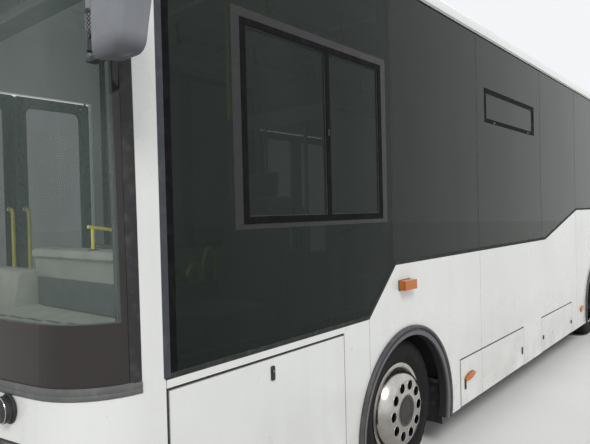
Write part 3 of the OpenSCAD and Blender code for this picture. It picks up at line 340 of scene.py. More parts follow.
SEAT_SHELL = plain("seat_shell", (0.075, 0.078, 0.085), 0.42, 380, 0.15, 0.08)
GREY_PLASTIC = plain("grey_plastic", (0.150, 0.155, 0.160), 0.52, 420, 0.25, 0.12)
RAIL = plain("rail_yellow", (0.730, 0.640, 0.025), 0.28, 300, 0.05, 0.12, 0.12, Coat_Weight=0.4)
LEATHER = plain("wheel_leather", (0.024, 0.024, 0.025), 0.45, 240, 0.35, 0.1)
STEEL = plain("bright_steel", (0.60, 0.60, 0.59), 0.26, 300, 0.08, 0.15, 0.2, 1.0)
DULL_STEEL = plain("dull_steel", (0.33, 0.33, 0.33), 0.46, 200, 0.2, 0.3, 0.3, 1.0)
HUB_GREY = plain("hub_grey", (0.034, 0.033, 0.031), 0.62, 160, 0.3, 0.4, dust_colour=(0.075, 0.068, 0.060))
MIRROR_GLASS = plain("mirror_glass", (0.72, 0.75, 0.76), 0.04, 20, 0.005, 0.05, 0.03, 1.0)
DIAL = plain("dial_face", (0.055, 0.058, 0.062), 0.25, 200, 0.02, 0.05, 0.1)
LAMP_WHITE = plain("lamp_cover", (0.70, 0.71, 0.68), 0.35, 90, 0.1, 0.05, 0.06)
SIGN_FACE = plain("sign_face", (0.016, 0.016, 0.017), 0.30, 900, 0.05, 0.05, 0.1)
PLATE = plain("blank_plate", (0.70, 0.71, 0.69), 0.35, 300, 0.05, 0.2, 0.08)

MATERIALS = {
    PAINT: "left_side right_side front_panels rear_panels roof battery_lid locker_lid heater_lid engine_lid",
    CHASSIS: "underframe axles left_knuckle right_knuckle",
    FRAME: "window_frames front_door_leaf_1 front_door_leaf_2 mid_door_leaf_1 mid_door_leaf_2",
    DOOR_TINT: "front_door_glass_1 front_door_glass_2 mid_door_glass_1 mid_door_glass_2",
    RIM: "front_left_rim front_right_rim rear_left_rims rear_right_rims",
    TYRE: "front_left_tyre front_right_tyre rear_left_tyres rear_right_tyres",
    LINO: "floor", HOUSING: "wheel_housings", SCREEN: "windscreen", TINT: "side_glass rear_glass",
    ARCH: "arch_trims", CASTING: "engine", DASH: "dashboard", DRIVER_CLOTH: "driver_seat",
    SEAT_SHELL: "passenger_seats", RAIL: "grab_rails", GREY_PLASTIC: "cab_partition", MIRROR_SHELL: "mirrors",
    BLACK: "wipers", AMBER: "lamps lid_marker", LEATHER: "steering_wheel",
}
for material, names in MATERIALS.items():
    for name in names.split():
        mesh = NODES[name].data
        mesh.materials.clear()
        mesh.materials.append(material)


def repaint(name, material, where):
    """Gives another material to the faces of a CAD node whose centre passes a test."""
    mesh = NODES[name].data
    mesh.materials.append(material)
    for face in mesh.polygons:
        if where(face.center):
            face.material_index = len(mesh.materials) - 1


repaint("side_glass", DRIVER_TINT, lambda at: at.y < 0 and at.x < AXLE_F - 0.146)
repaint("window_frames", DEEP_BLACK, lambda at: at.y < -SIDE + 0.004 and at.x > AXLE_F - 1.400)
repaint("lamps", COVER, lambda at: at.x < -4.3)
repaint("lamps", RED, lambda at: at.x > 4.3)
for _, word in SIDES:
    repaint("front_%s_rim" % word, HUB_GREY, lambda at: math.hypot(at.x - AXLE_F, at.z - HUB_Z) < 0.0795)
    repaint("rear_%s_rims" % word, HUB_GREY, lambda at: math.hypot(at.x - AXLE_R, at.z - HUB_Z) < 0.0985)


# Mesh helpers

def body_of(node):
    """Body that a CAD node rides on."""
    for body, nodes in frame["record"]["behaviour"]["bodies"].items():
        if node in nodes:
            return body
    raise KeyError(node)


def mm(*pairs):
    return [(a * MM, b * MM) for a, b in pairs]


def section(*half):
    """Section of a strip, the same left and right, from its right half in mm: foot's edge first."""
    rest = [(-a, b) for a, b in half[:0:-1] if a]
    return mm((-half[0][0], half[0][1]), *half, *rest)


def around(n, r, turn=0.0):
    """Places on a circle, as pairs."""
    angles = [2 * math.pi * (k + turn) / n for k in range(n)]
    return [(r * math.cos(a), r * math.sin(a)) for a in angles]


def arc(x, y, r, a0, a1, n):
    angles = [math.radians(a0 + (a1 - a0) * i / n) for i in range(n + 1)]
    return [(x + r * math.cos(a), y + r * math.sin(a)) for a in angles]


def round_rect(x0, y0, x1, y1, r, n=6):
    return (arc(x1 - r, y1 - r, r, 0, 90, n) + arc(x0 + r, y1 - r, r, 90, 180, n)
            + arc(x0 + r, y0 + r, r, 180, 270, n) + arc(x1 - r, y0 + r, r, 270, 360, n))


def spaced(lo, hi, n):
    """Evenly spaced values with both ends, in n steps."""
    return [lo + (hi - lo) * k / n for k in range(n + 1)]


def stand(thing):
    """Puts an object into the scene."""
    bpy.context.scene.collection.objects.link(thing)
    return thing


class Piece:
    """Collects parts of one mesh in the frame's axes, then becomes an object that rides on a body."""

    def __init__(self, name, slot, material, node=None):
        """Rides on the body that carries `node`, or on the chassis."""
        self.name, self.slot, self.materials = name, slot, [material]
        self.body = body_of(node) if node else ROOT
        self.verts, self.faces, self.index = [], [], []

    def add(self, verts, faces, mat=None):
        mat = mat or self.materials[0]
        if mat not in self.materials:
            self.materials.append(mat)
        base = len(self.verts)
        self.verts += [tuple(v) for v in verts]
        self.faces += [tuple(base + i for i in f) for f in faces]
        self.index += [self.materials.index(mat)] * len(faces)

    def box(self, lo, hi, r, mat=None, turn=None):
        """Block with every edge chamfered, turned about its centre."""
        lo, hi = Vector(lo), Vector(hi)
        r = min(r, 0.45 * min(hi - lo))
        verts, faces, of = [], [], {}
        for s in product((0, 1), repeat=3):
            c = Vector([(lo, hi)[k][i] for i, k in enumerate(s)])
            into = Vector([-r if k else r for k in s])
            for axis in range(3):
                p = c + into
                p[axis] = c[axis]
                of[s + (axis,)] = len(verts)
                verts.append(p)
            tri = [of[s + (i,)] for i in range(3)]
            faces.append(tri if sum(s) % 2 else tri[::-1])
        for axis in range(3):
            u, v = (axis + 1) % 3, (axis + 2) % 3

            def corner(along, a, b, face):
                key = [0, 0, 0, face]
                key[axis], key[u], key[v] = along, a, b
                return of[tuple(key)]

            for side in (0, 1):
                loop = [corner(side, a, b, axis) for a, b in ((0, 0), (1, 0), (1, 1), (0, 1))]
                faces.append(loop if side else loop[::-1])
            for a, b in product((0, 1), repeat=2):
                quad = [corner(0, a, b, u), corner(1, a, b, u), corner(1, a, b, v), corner(0, a, b, v)]
                faces.append(quad if a == b else quad[::-1])
        if turn is not None:
            at = (lo + hi) / 2
            verts = [turn @ (v - at) + at for v in verts]
        self.add(verts, faces, mat)

    def block(self, at, half, r, mat=None):
        """Chamfered block from its centre and half sizes."""
        self.box([a - h for a, h in zip(at, half)], [a + h for a, h in zip(at, half)], r, mat)

    def lathe(self, profile, at, axis, n=48, mat=None, wobble=None):
        """Turns a profile of (radius, along) pairs in mm round an axis."""
        axis = Vector(axis).normalized()
        side = axis.orthogonal().normalized() if abs(axis.y) < 0.9 else Vector((1, 0, 0))
        other = axis.cross(side)
        verts, faces, m = [], [], len(profile)
        for i, (c, s) in enumerate(around(n, 1.0)):
            for j, (r, h) in enumerate(profile):
                r = r + (wobble(i, r, h) if wobble else 0.0)
                verts.append(Vector(at) + axis * (h * MM) + (side * c + other * s) * (r * MM))
            for j in range(m - 1):
                k = (i + 1) % n
                faces.append((i * m + j, i * m + j + 1, k * m + j + 1, k * m + j))
        self.add(verts, faces, mat)

    def sweep(self, path, normals, shape, mat=None, closed=False):
        """Carries a section of (across, outward) pairs along a path."""
        n, m = len(path), len(shape)
        verts, faces = [], []
        for i, p in enumerate(path):
            ahead = path[(i + 1) % n] if closed or i < n - 1 else p
            back = path[i - 1] if closed or i > 0 else p
            t = (Vector(ahead) - Vector(back)).normalized()
            out = Vector(normals[i] if isinstance(normals, list) else normals)
            out = (out - t * out.dot(t)).normalized()
            across = t.cross(out)
            verts += [Vector(p) + across * a + out * b for a, b in shape]
        for i, j in product(range(n if closed else n - 1), range(m)):
            k, after = (i + 1) % n, (j + 1) % m
            faces.append((i * m + j, i * m + after, k * m + after, k * m + j))
        if not closed:
            faces.append(tuple(range(m))[::-1])
            faces.append(tuple((n - 1) * m + j for j in range(m)))
        self.add(verts, faces, mat)

    def follow(self, found, shape, mat=None):
        """Sweeps along places that each come with their normal."""
        self.sweep([p for p, _ in found], [n for _, n in found], shape, mat)

    def tube(self, path, r, n=12, mat=None):
        path = [Vector(p) for p in path]
        out = (path[1] - path[0]).orthogonal().normalized()
        normals = []
        for i in range(len(path)):
            t = (path[min(i + 1, len(path) - 1)] - path[max(i - 1, 0)]).normalized()
            out = (out - t * out.dot(t)).normalized()
            normals.append(out.copy())
        self.sweep(path, normals, around(n, r), mat)

    def loft(self, rings, mat=None, closed=(True, True)):
        """Joins rings of equal count, and closes the ends."""
        m, last = len(rings[0]), len(rings) - 1
        faces = []
        for i, j in product(range(last), range(m)):
            k = (j + 1) % m
            faces.append((i * m + j, i * m + k, (i + 1) * m + k, (i + 1) * m + j))
        if closed[0]:
            faces.append(tuple(range(m))[::-1])
        if closed[1]:
            faces.append(tuple(last * m + j for j in range(m)))
        self.add([p for ring in rings for p in ring], faces, mat)

    def plate(self, outline, at, u, v, thick, mat=None, r=0.001):
        """Flat plate from an outline of (u, v) pairs: face at `at`, edge eased by r, thickness going back."""
        u, v = Vector(u), Vector(v)
        w = u.cross(v).normalized()
        mid = [sum(p[i] for p in outline) / len(outline) for i in (0, 1)]
        rings = []
        for shrink, depth in ((0.0, thick), (0.0, r), (r, 0.0)):
            ring = []
            for a, b in outline:
                da, db = a - mid[0], b - mid[1]
                k = 1 - shrink / max(math.hypot(da, db), 1e-6)
                ring.append(Vector(at) + u * (mid[0] + da * k) + v * (mid[1] + db * k) - w * depth)
            rings.append(ring)
        self.loft(rings, mat)

    def done(self, angle=32.0):
        mesh = bpy.data.meshes.new(self.name)
        mesh.from_pydata(self.verts, [], self.faces)
        for m in self.materials:
            mesh.materials.append(m)
        for face, i in zip(mesh.polygons, self.index):
            face.material_index = i
        mesh.validate()
        mesh.update()
        mesh.shade_smooth()
        mesh.set_sharp_from_angle(angle=math.radians(angle))
        thing = stand(bpy.data.objects.new(self.name, mesh))
        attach(thing, self.body)
        return thing


# Places on the bowed nose and tail, each with its outward normal

def nose_point(x_in, z, out=0.0, left=True):
    """Point on the nose, by its depth behind the tip, on the left or right half."""
    if x_in < NOSE_R * (1 - math.cos(TOUCH)):
        a = math.acos(1 - x_in / NOSE_R)
        y, nx, ny = NOSE_R * math.sin(a), -math.cos(a), math.sin(a)
    elif x_in < CORNER_X:
        a = math.acos(min(1.0, (CORNER_X - x_in) / CORNER_R))
        y, nx, ny = CORNER_Y + CORNER_R * math.sin(a), -math.cos(a), math.sin(a)
    else:
        y, nx, ny = SIDE, 0.0, 1.0
    s = -1 if left else 1
    normal = Vector((nx * math.cos(LEAN), s * ny, -nx * math.sin(LEAN))).normalized()
    at = Vector((NOSE + (z - SKIRT) * math.tan(LEAN) + x_in / math.cos(LEAN), s * y, z))
    return at + normal * out, normal


def nose_depth(x, z):
    """Depth behind the nose's tip of a place along the body, at a height."""
    return (x - NOSE - (z - SKIRT) * math.tan(LEAN)) * math.cos(LEAN)


def nose_path(z, edge):
    """Places across the nose at one height, from the left edge round to the right."""
    deep = nose_depth(edge, z)
    a_end = math.pi / 2 if deep >= CORNER_X else math.acos((CORNER_X - deep) / CORNER_R)
    depths = [CORNER_X - CORNER_R * math.cos(a) for a in spaced(a_end, TOUCH, 10)[:-1]]
    depths += [NOSE_R * (1 - math.cos(a)) for a in spaced(TOUCH, 0.0, 18)[:-1]]
    left, right = ([nose_point(d, z, left=way) for d in depths] for way in (True, False))
    return left + [nose_point(0.0, z)] + right[::-1]


def nose_across(y, z, out=0.0):
    """Point on the nose at a place across the body."""
    side = abs(y)
    if side < TOUCH_Y:
        depth = NOSE_R - math.sqrt(NOSE_R ** 2 - side ** 2)
    else:
        depth = CORNER_X - math.sqrt(CORNER_R ** 2 - (side - CORNER_Y) ** 2)
    return nose_point(depth, z, out, y < 0)


def nose_strip(piece, z, y0, y1, shape, mat=None, steps=14):
    piece.follow([nose_across(y, z) for y in spaced(y0, y1, steps)], shape, mat)


def nose_upright(piece, y, z0, z1, shape, mat=None):
    piece.follow([nose_across(y, z) for z in spaced(z0, z1, 4)], shape, mat)


def nose_sheet(piece, y0, y1, z0, z1, out, mat, steps=12):
    """Curved sheet that follows the nose, facing outwards."""
    verts = [nose_across(y, z, out)[0] for y in spaced(y0, y1, steps) for z in (z0, z1)]
    piece.add(verts, [(2 * k, 2 * k + 1, 2 * k + 3, 2 * k + 2) for k in range(steps)], mat)


TAIL_R, TAIL_CORNER_R = 12.0, 0.170
TAIL_CORNER_Y = SIDE - TAIL_CORNER_R
TAIL_CORNER_X = TAIL_R - math.sqrt((TAIL_R - TAIL_CORNER_R) ** 2 - TAIL_CORNER_Y ** 2)
TAIL_TOUCH_Y = TAIL_R * TAIL_CORNER_Y / (TAIL_R - TAIL_CORNER_R)


def tail_point(y, z, out=0.0):
    """Point on the tail at a place across the body."""
    side = min(abs(y), SIDE - 1e-4)
    if side < TAIL_TOUCH_Y:
        run, across = math.sqrt(TAIL_R ** 2 - side ** 2), side
        depth = TAIL_R - run
    else:
        across = side - TAIL_CORNER_Y
        run = math.sqrt(TAIL_CORNER_R ** 2 - across ** 2)
        depth = TAIL_CORNER_X - run
    normal = Vector((run, math.copysign(across, y), 0)).normalized()
    return Vector((TAIL - depth, y, z)) + normal * out, normal


def tail_strip(piece, z, y0, y1, shape, mat=None, steps=14):
    piece.follow([tail_point(y, z) for y in spaced(y0, y1, steps)], shape, mat)


def tail_upright(piece, y, z0, z1, shape, mat=None):
    at, normal = tail_point(y, 0.0)
    piece.sweep([(at.x, at.y, z0), (at.x, at.y, z1)], normal, shape, mat)


# Wheels

def make_tyres():
    """Tyre skins with grooves, shoulder blocks and moulded rings on the side wall."""
    wall = [(252, 93), (262, 101), (272, 104.5), (277, 108.5), (283, 109), (288, 113), (300, 116.5),
            (304, 119.5), (318, 121.5), (336, 123.2), (340, 122.2), (352, 122.5), (356, 123.5), (366, 120),
            (374, 117.5), (380, 115), (388, 111.5), (396, 104), (401, 96)]
    tread = []
    for groove in (-66, -24, 24, 66):
        tread += [(404.4, groove - 7.5), (393, groove - 4.5), (393, groove + 4.5), (404.4, groove + 7.5)]
    profile = [(r, -y) for r, y in wall] + tread + wall[::-1]

    def bite(i, r, y):
        if 370 < r < 402 and abs(y) > 90 and i % 3 == 0:
            return -6.5
        return -2.2 if r > 404 and i % 2 == 0 else 0.0

    for side, word in SIDES:
        for node, x, rows in (("front_%s_tyre", AXLE_F, (0.0,)), ("rear_%s_tyres", AXLE_R, (0.0, TWIN))):
            piece = Piece(node % word + "_tread", "tyre_rubber", TYRE, node % word)
            for inward in rows:
                piece.lathe(profile, (x, side * (TYRE_Y - inward), HUB_Z), (0, 1, 0), 132, wobble=bite)
            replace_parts(piece.done(40), node % word)


def make_wheel_trim():
    """Bright edges round the hand holes, bell covers, hub discs, caps and wheel nuts."""
    for side, word in SIDES:
        out = Vector((0, side, 0))
        piece = Piece("front_%s_wheel_trim" % word, "rim_steel", RIM, "front_%s_rim" % word)
        face = side * (TYRE_Y + 0.1651)
        hub = (AXLE_F, face, HUB_Z)
        for a, b in around(10, 0.143):
            piece.lathe([(27.9, -12), (27.9, 1.2), (28.8, 1.9), (30.5, 1.9), (31.8, 0.3)],
                        (AXLE_F + a, face, HUB_Z + b), out, 28, STEEL)
        piece.lathe([(88.5, -2), (88.5, 1.2), (89.5, 2), (91.8, 2), (93.5, 0.3)], hub, out, 64)
        piece.lathe([(0, -3), (30, -3.2), (47, -4.5), (59, -6), (64, -4), (79, -1), (83, 0.8), (88.6, 0.8)],
                    hub, out, 56, HUB_GREY)
        piece.lathe([(248, -71.5), (245.5, -69), (240.5, -69), (237.5, -73), (234.5, -73), (232.5, -68),
                     (229.5, -56), (222.5, -44), (209.5, -20.5), (191.5, -5.5), (173, 0.9)], hub, out, 96)
        for a, b in around(6, 0.0725, 0.5):
            piece.lathe([(0, 3), (4, 3), (5.2, 2), (5.2, 0)], (AXLE_F + a, face - side * 0.0025, HUB_Z + b),
                        out, 6, HUB_GREY)
        piece.done(28)
        rear = Piece("rear_%s_wheel_trim" % word, "rim_steel", HUB_GREY, "rear_%s_rims" % word)
        meet, cap = side * (TYRE_Y - TWIN / 2 + 0.009), side * (TYRE_Y + 0.034)
        for a, b in around(10, 0.117, 0.5):
            at = (AXLE_R + a, meet, HUB_Z + b)
            rear.lathe([(16.5, 0), (16.5, 4), (15, 5)], at, out, 20, DULL_STEEL)
            rear.lathe([(15, 5), (15, 24), (13, 27), (7, 27.5), (7, 33), (0, 34)], at, out, 6, DULL_STEEL)
        rear.lathe([(0, 7.5), (30, 7), (52, 5), (68, 1.5), (79.5, 0)], (AXLE_R, cap, HUB_Z), out, 48)
        for a, b in around(8, 0.070):
            rear.lathe([(7.5, 0), (7.5, 7.5), (6, 8.5), (0, 8.5)], (AXLE_R + a, cap, HUB_Z + b), out,
                       6, DULL_STEEL)
        rear.done(28)


def make_mud_flaps():
    """Rubber flaps behind each wheel, hung from the housing on a strip with four bolts."""
    piece = Piece("mud_flaps", "tyre_rubber", RUBBER)
    rows, columns, thick = 9, 6, 0.006
    n = columns + 1
    for side in (-1, 1):
        for x, wide in ((AXLE_F + 0.508, 0.30), (AXLE_R + 0.508, 0.52)):
            lo, hi = sorted((side * 1.118, side * (1.118 - wide)))
            front = [(x + 0.022 * t * t + 0.004 * math.sin(7 * u + 3 * t), lo + (hi - lo) * u,
                      0.455 - t * 0.300 + 0.004 * math.sin(9 * u) * t)
                     for t in spaced(0, 1, rows) for u in spaced(0, 1, columns)]
            back = len(front)
            faces = []
            for i, j in product(range(rows), range(columns)):
                a = i * n + j
                b = a + back
                faces += [(a, a + 1, a + n + 1, a + n), (b, b + n, b + n + 1, b + 1)]
            for a in range(0, rows * n, n):
                b = a + columns
                faces += [(a, a + n, a + n + back, a + back), (b, b + back, b + n + back, b + n)]
            faces += [(a, a + 1, a + 1 + back, a + back) for a in range(rows * n, rows * n + columns)]
            piece.add(front + [(px + thick, py, pz) for px, py, pz in front], faces)
            piece.box((x - 0.004, lo + 0.01, 0.425), (x - 0.001, hi - 0.01, 0.452), 0.001, DULL_STEEL)
            for k in range(4):
                piece.lathe([(8, 0), (8, 4), (0, 5)], (x - 0.004, lo + (hi - lo) * (k + 0.5) / 4, 0.438),
                            (-1, 0, 0), 6, DULL_STEEL)
    piece.done()


# Seals and bright details of the body

def make_screen_seals():
    """Rubber round the windscreen, grey below and dark at the posts, and at the side glass's front edge."""
    piece = Piece("windscreen_seal", "arch_rubber", GREY_RUBBER)
    band = mm((-20.5, -4), (20.5, -4), (20.5, 3), (15, 5.8), (4, 6.2), (-3, 4), (-7, 6.2),
              (-16, 5.6), (-20.5, 2))
    piece.follow(nose_path(SCREEN_Z + 0.008, SCREEN_EDGE + 0.002), band)
    piece.follow(nose_path(SCREEN_TOP + 0.002, SCREEN_EDGE + 0.002),
                 section((12, -6), (12, 1), (0, 3)), RUBBER)
    post = mm((-20, -6), (20, -6), (20, 1), (14, 3.5), (-10, 3.5), (-20, 1))
    for side in (-1, 1):
        piece.follow([nose_point(nose_depth(SCREEN_EDGE - 0.018, z), z, 0.0, side < 0)
                      for z in spaced(SCREEN_Z + 0.012, SCREEN_TOP, 12)], post, RUBBER)
        piece.sweep([(PILLAR_EDGE + 0.006, side * SIDE, z) for z in spaced(1.002, GLASS_TOP, 6)],
                    (0, side, 0), section((14, -4), (14, 1), (6, 3)), EDGE_RUBBER)
    # Black strip behind the driver's glass's front edge
    piece.sweep([(PILLAR_EDGE + 0.035, -SIDE * 0.9983, z) for z in spaced(1.012, GLASS_TOP - 0.002, 6)],
                (0, -1, 0), mm((-15, 0), (15, 0), (14.5, 2.8), (-14.5, 2.8)), DEEP_BLACK)
    piece.done()


SILL_BENDS = ((-0.410, 1.010), (-0.130, 1.265), (2.620, 1.263), (3.760, 1.522))


def sill_at(x):
    """Height of the window line, by the place from the front axle."""
    for (x0, z0), (x1, z1) in zip(SILL_BENDS, SILL_BENDS[1:]):
        if x <= x1:
            return z0 + (z1 - z0) * max(0.0, x - x0) / (x1 - x0)
    return z1


def make_side_seams():
    """Sealant along the window line and fine joints between the lower panels, which stop above the arches."""
    piece = Piece("side_seams", "arch_rubber", SEALANT)
    bead, line = section((10.5, -3), (10.5, 0.3), (9, 1)), section((1.2, -2), (1.2, 0.4))
    for side, bends in ((-1, (-1.684, -0.410, -0.130, 2.620, 3.760, 6.65)),
                        (1, (-0.500, -0.410, -0.130, 1.190)), (1, (2.510, 2.620, 3.760, 6.65))):
        piece.sweep([(AXLE_F + x, side * SIDE, sill_at(x) - 0.0040) for x in bends], (0, side, 0), bead)
    for side, x, top in ((-1, -0.410, 1.000), (-1, 1.060, 1.258), (-1, REAR_JOINT, 1.500),
                         (-1, TAIL_JOINT, 1.512), (1, 0.250, 1.258), (1, 3.900, 1.512),
                         (1, TAIL_JOINT, 1.512)):
        foot = PANEL_FOOT if abs(x) > ARCH_R else ARCH_Z + math.sqrt((ARCH_R + 0.006) ** 2 - x ** 2)
        piece.sweep([(AXLE_F + x, side * SIDE, z) for z in (foot, top)], (0, side, 0), line, FAINT)
    piece.done()


# Each lid's latches: place from the front axle, height and half length
LATCHES = {
    "battery_lid": ((-1.150, 0.895, 0.030),),
    "locker_lid": ((0.764, 0.365, 0.030), (1.924, 0.359, 0.030)),
    "heater_lid": ((2.511, 0.361, 0.018), (3.471, 0.345, 0.018)),
}


def make_lid_details():
    """Dark rubber inside each lid's opening, and its upright latches."""
    seals = Piece("lid_seals", "arch_rubber", RUBBER)
    for name, (start, length, top, gap) in LIDS.items():
        x0, x1 = AXLE_F + start, AXLE_F + start + length
        seals.box((x0 - gap - 0.001, -1.1765, PANEL_FOOT), (x0 - 0.0018, -1.140, top + 0.011), 0.0006)
        for left, foot in ((x0 - gap + 0.003, top + 0.010), (x1 + 0.004, PANEL_FOOT)):
            seals.box((left - 0.002, -1.176, foot - 0.002), (x1 + 0.006, -1.140, top + 0.012), 0.0008)
        latch = Piece(name + "_latches", "fitting_black", BLACK, name)
        wide = 0.0160 if name == "heater_lid" else 0.0115
        for x, z, half in LATCHES[name]:
            for y, inset, size, r, thick, soft in ((0.0055, 0.0, 1.0, 0.006, 0.0055, 0.0016),
                                                   (0.0070, 0.0045, 0.7, 0.004, 0.0020, 0.0010)):
                face = round_rect(inset - wide, -half * size, wide - inset, half * size, r)
                latch.plate(face, (AXLE_F + x, -SIDE - y, z), (1, 0, 0), UP, thick, r=soft)
            latch.lathe([(0, 9), (4, 9), (5, 8.2), (5, 6)], (AXLE_F + x, -SIDE, z + half * 0.30),
                        (0, -1, 0), 20, DULL_STEEL)
        latch.done()
    seals.done()


def make_markers():
    """Side repeaters with their gaskets, and the oval lens of the marker on the locker lid."""
    for side, word in SIDES:
        piece = Piece("repeater_%s" % word, "lamp_plastic", AMBER)
        out, u = Vector((0, side, 0)), Vector((-side, 0, 0))
        mid = Vector((AXLE_F - 0.038, side * SIDE, 1.134))
        piece.plate(round_rect(-0.070, -0.030, 0.070, 0.030, 0.010), mid + out * 0.004, u, UP, 0.006,
                    RUBBER, 0.0015)
        rings = [[mid + u * p + UP * q + out * h for p, q in round_rect(-a, -b, a, b, r, 5)]
                 for a, b, r, h in (
            (0.0675, 0.0275, 0.010, 0.004), (0.0675, 0.0275, 0.011, 0.028), (0.0650, 0.0250, 0.012, 0.038),
            (0.0590, 0.0190, 0.010, 0.0437), (0.0460, 0.0090, 0.006, 0.0442))]
        piece.loft(rings, closed=(False, True))
        piece.done(40)
    piece = Piece("lid_marker_lens", "lamp_plastic", AMBER, "lid_marker")
    at, turn = Vector((AXLE_F + 0.830, 0.413)), Matrix.Rotation(math.radians(8), 2)
    rings = []
    for size, thin, h in ((1.06, 1.12, 1), (1.06, 1.12, 4), (1.0, 1.0, 4.5), (1.0, 1.0, 14), (0.96, 0.88, 20),
                          (0.80, 0.62, 23.5), (0.40, 0.25, 24.5)):
        ring = [at + turn @ Vector((0.076 * size * u, 0.0185 * thin * v)) for u, v in around(36, 1.0)]
        rings.append([(p.x, -SIDE - h * MM, p.y) for p in ring])
    piece.loft(rings[:3], RUBBER)
    piece.loft(rings[2:])
    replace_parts(piece.done(40), "lid_marker")


def make_lid_bins():
    """Sheet bins behind the two low lids: back, ends and top, with a rolled edge and stiffening beads."""
    piece = Piece("lid_bins", "housing_coat", HOUSING)
    back, front, wall = -0.985, -1.145, 0.003
    for name in ("locker_lid", "heater_lid"):
        start, length, top, _ = LIDS[name]
        x0, x1, z0, z1 = AXLE_F + start - 0.012, AXLE_F + start + length + 0.012, 0.375, top + 0.018
        piece.box((x0, back, z0), (x1, back + wall, z1), 0.001)
        piece.box((x0, front, z1 - wall), (x1, back + wall, z1), 0.001)
        for x in (x0, x1 - wall):
            piece.box((x, front, z0), (x + wall, back + wall, z1), 0.001)
        piece.box((x0, back - 0.001, z1 - 0.010), (x1, back + 0.012, z1 + 0.002), 0.002, GREY_PLASTIC)
        for k in range(5):
            piece.block((x0 + (x1 - x0) * (k + 0.5) / 5, back - 0.001, z0 + 0.046),
                        (0.060, 0.003, 0.006), 0.002)
    piece.done()


# Mirrors and wipers

MIRROR_X, MIRROR_Y, MIRROR_Z = AXLE_F - 1.941, SIDE + 0.160, 2.200
MIRROR_HALF_W, MIRROR_HALF_H, MIRROR_OUT = 0.093, 0.197, 0.0955
MIRROR_FRONT = MIRROR_X - 0.0335
TUBE_Y, ARM_Z, FOOT_X = MIRROR_Y - 0.125, 2.640, AXLE_F - 1.732


def mirror_ring(side, scale, depth):
    """Outline of the mirror's housing at a depth in mm; its foot lifts as the housing gets deeper."""
    w, h = MIRROR_HALF_W, MIRROR_HALF_H
    edge = arc(MIRROR_OUT - 0.045, h - 0.045, 0.045, 0, 90, 7) + arc(0.057 - w, h - 0.045, 0.045, 90, 180, 7)
    edge += [(0.012 - w, -0.010), (-w, -0.067)] + arc(0.022 - w, 0.022 - h, 0.022, 180, 270, 7)
    edge += arc(0.007, 0.050 - h, 0.050, 270, 345, 7)
    edge += [(u, (2 * t - 1) * h)
             for t, u in ((0.20, 0.0640), (0.35, 0.0800), (0.48, 0.0925), (0.57, MIRROR_OUT))]
    lift = -0.008 + 0.015 * min(1.0, depth / 70)
    ring = [(MIRROR_FRONT + depth * MM, side * (MIRROR_Y + 0.009 + u * scale),
             MIRROR_Z + v * scale + lift * max(0.0, 1.0 - (v + h) / 0.080)) for u, v in edge]
    return ring if side > 0 else ring[::-1]


def make_mirrors():
    """Outside mirrors: crowned housing with its glass, clamped to an upright tube and an arm."""
    shell = ((0.40, 0.5), (0.80, 1.6), (0.905, 4.2), (0.950, 8.5), (0.975, 15), (0.990, 26),
             (1.0, 42), (1.0, 70), (0.996, 72), (0.996, 74.5), (1.0, 76.5), (1.0, 88.5), (0.985, 93.5),
             (0.960, 94.5), (0.945, 92.5), (0.940, 86))
    sleeves = ([(13, 2041), (14.6, 2041), (14.8, 2044), (14.8, 2093), (13.8, 2094)],
               [(13.8, 2095), (14.6, 2096), (14.6, 2149), (13.8, 2150)],
               [(13.8, 2151), (16, 2151), (16.6, 2154), (16.6, 2160), (15.8, 2163), (13.8, 2163)],
               [(13.8, 2300), (16, 2300), (16.6, 2304), (16.6, 2352), (16, 2356), (13.8, 2356)])
    for side, word in SIDES:
        piece = Piece("mirror_%s" % word, "fitting_black", MIRROR_SHELL)
        piece.loft([mirror_ring(side, *place) for place in shell])
        piece.loft([mirror_ring(side, *place) for place in ((0.941, 86.6), (0.60, 88), (0.20, 88.4))],
                   MIRROR_GLASS, (False, True))
        y = side * TUBE_Y
        path = [(MIRROR_X + a, y, ARM_Z + b)
                for a, b in ((0, -0.595), (0, -0.05), (0.006, -0.020), (0.022, -0.004), (0.050, 0))]
        path += [(FOOT_X + a, y - side * b, ARM_Z)
                 for a, b in ((-0.050, 0), (-0.022, 0.004), (-0.005, 0.016))]
        piece.tube(path + [(FOOT_X, side * (SIDE + 0.004), ARM_Z)], 0.0138, 20)
        base = Vector((MIRROR_X, y, 0))
        for profile in sleeves:
            piece.lathe(profile, base, UP, 28, BLACK)
        for row in range(8):
            for a, b in around(9, 1.0, 0.5 * (row % 2)):
                at = base + Vector((0.0150 * a, 0.0150 * b, 2.100 + 0.0064 * row))
                piece.lathe([(0, 1.6), (2, 1.2), (3, 0)], at, (a, b, 0), 6, DULL_STEEL)
        lo, hi = sorted((y, y + side * 0.052))
        for z in (2.080, 2.330):
            piece.box((MIRROR_X - 0.010, lo, z - 0.020), (MIRROR_X + 0.012, hi, z + 0.020), 0.004, BLACK)
            piece.lathe([(6.5, 0), (6.5, 5), (5, 6), (0, 6)], (MIRROR_X - 0.010, y + side * 0.012, z),
                        (-1, 0, 0), 6, BLACK)
        lo, hi = sorted((y - side * 0.010, y + side * 0.050))
        piece.box((MIRROR_X - 0.018, lo, 2.006), (MIRROR_X + 0.020, hi, 2.021), 0.004, BLACK)
        piece.lathe([(0, 14), (7, 13), (10, 8), (10, 0)], (MIRROR_X - 0.010, y + side * 0.020, 2.020),
                    (-1, -0.4 * side, 0), 16)
        piece.lathe([(0, 16), (20, 16), (23.5, 13), (24, 4), (24, 0)], (FOOT_X, side * SIDE, ARM_Z),
                    (0, side, 0), 32, BLACK)
        thing = piece.done(34)
        if side < 0:
            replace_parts(thing, "mirrors")


WIPER_Z, WIPER_OUT = 0.930, 28


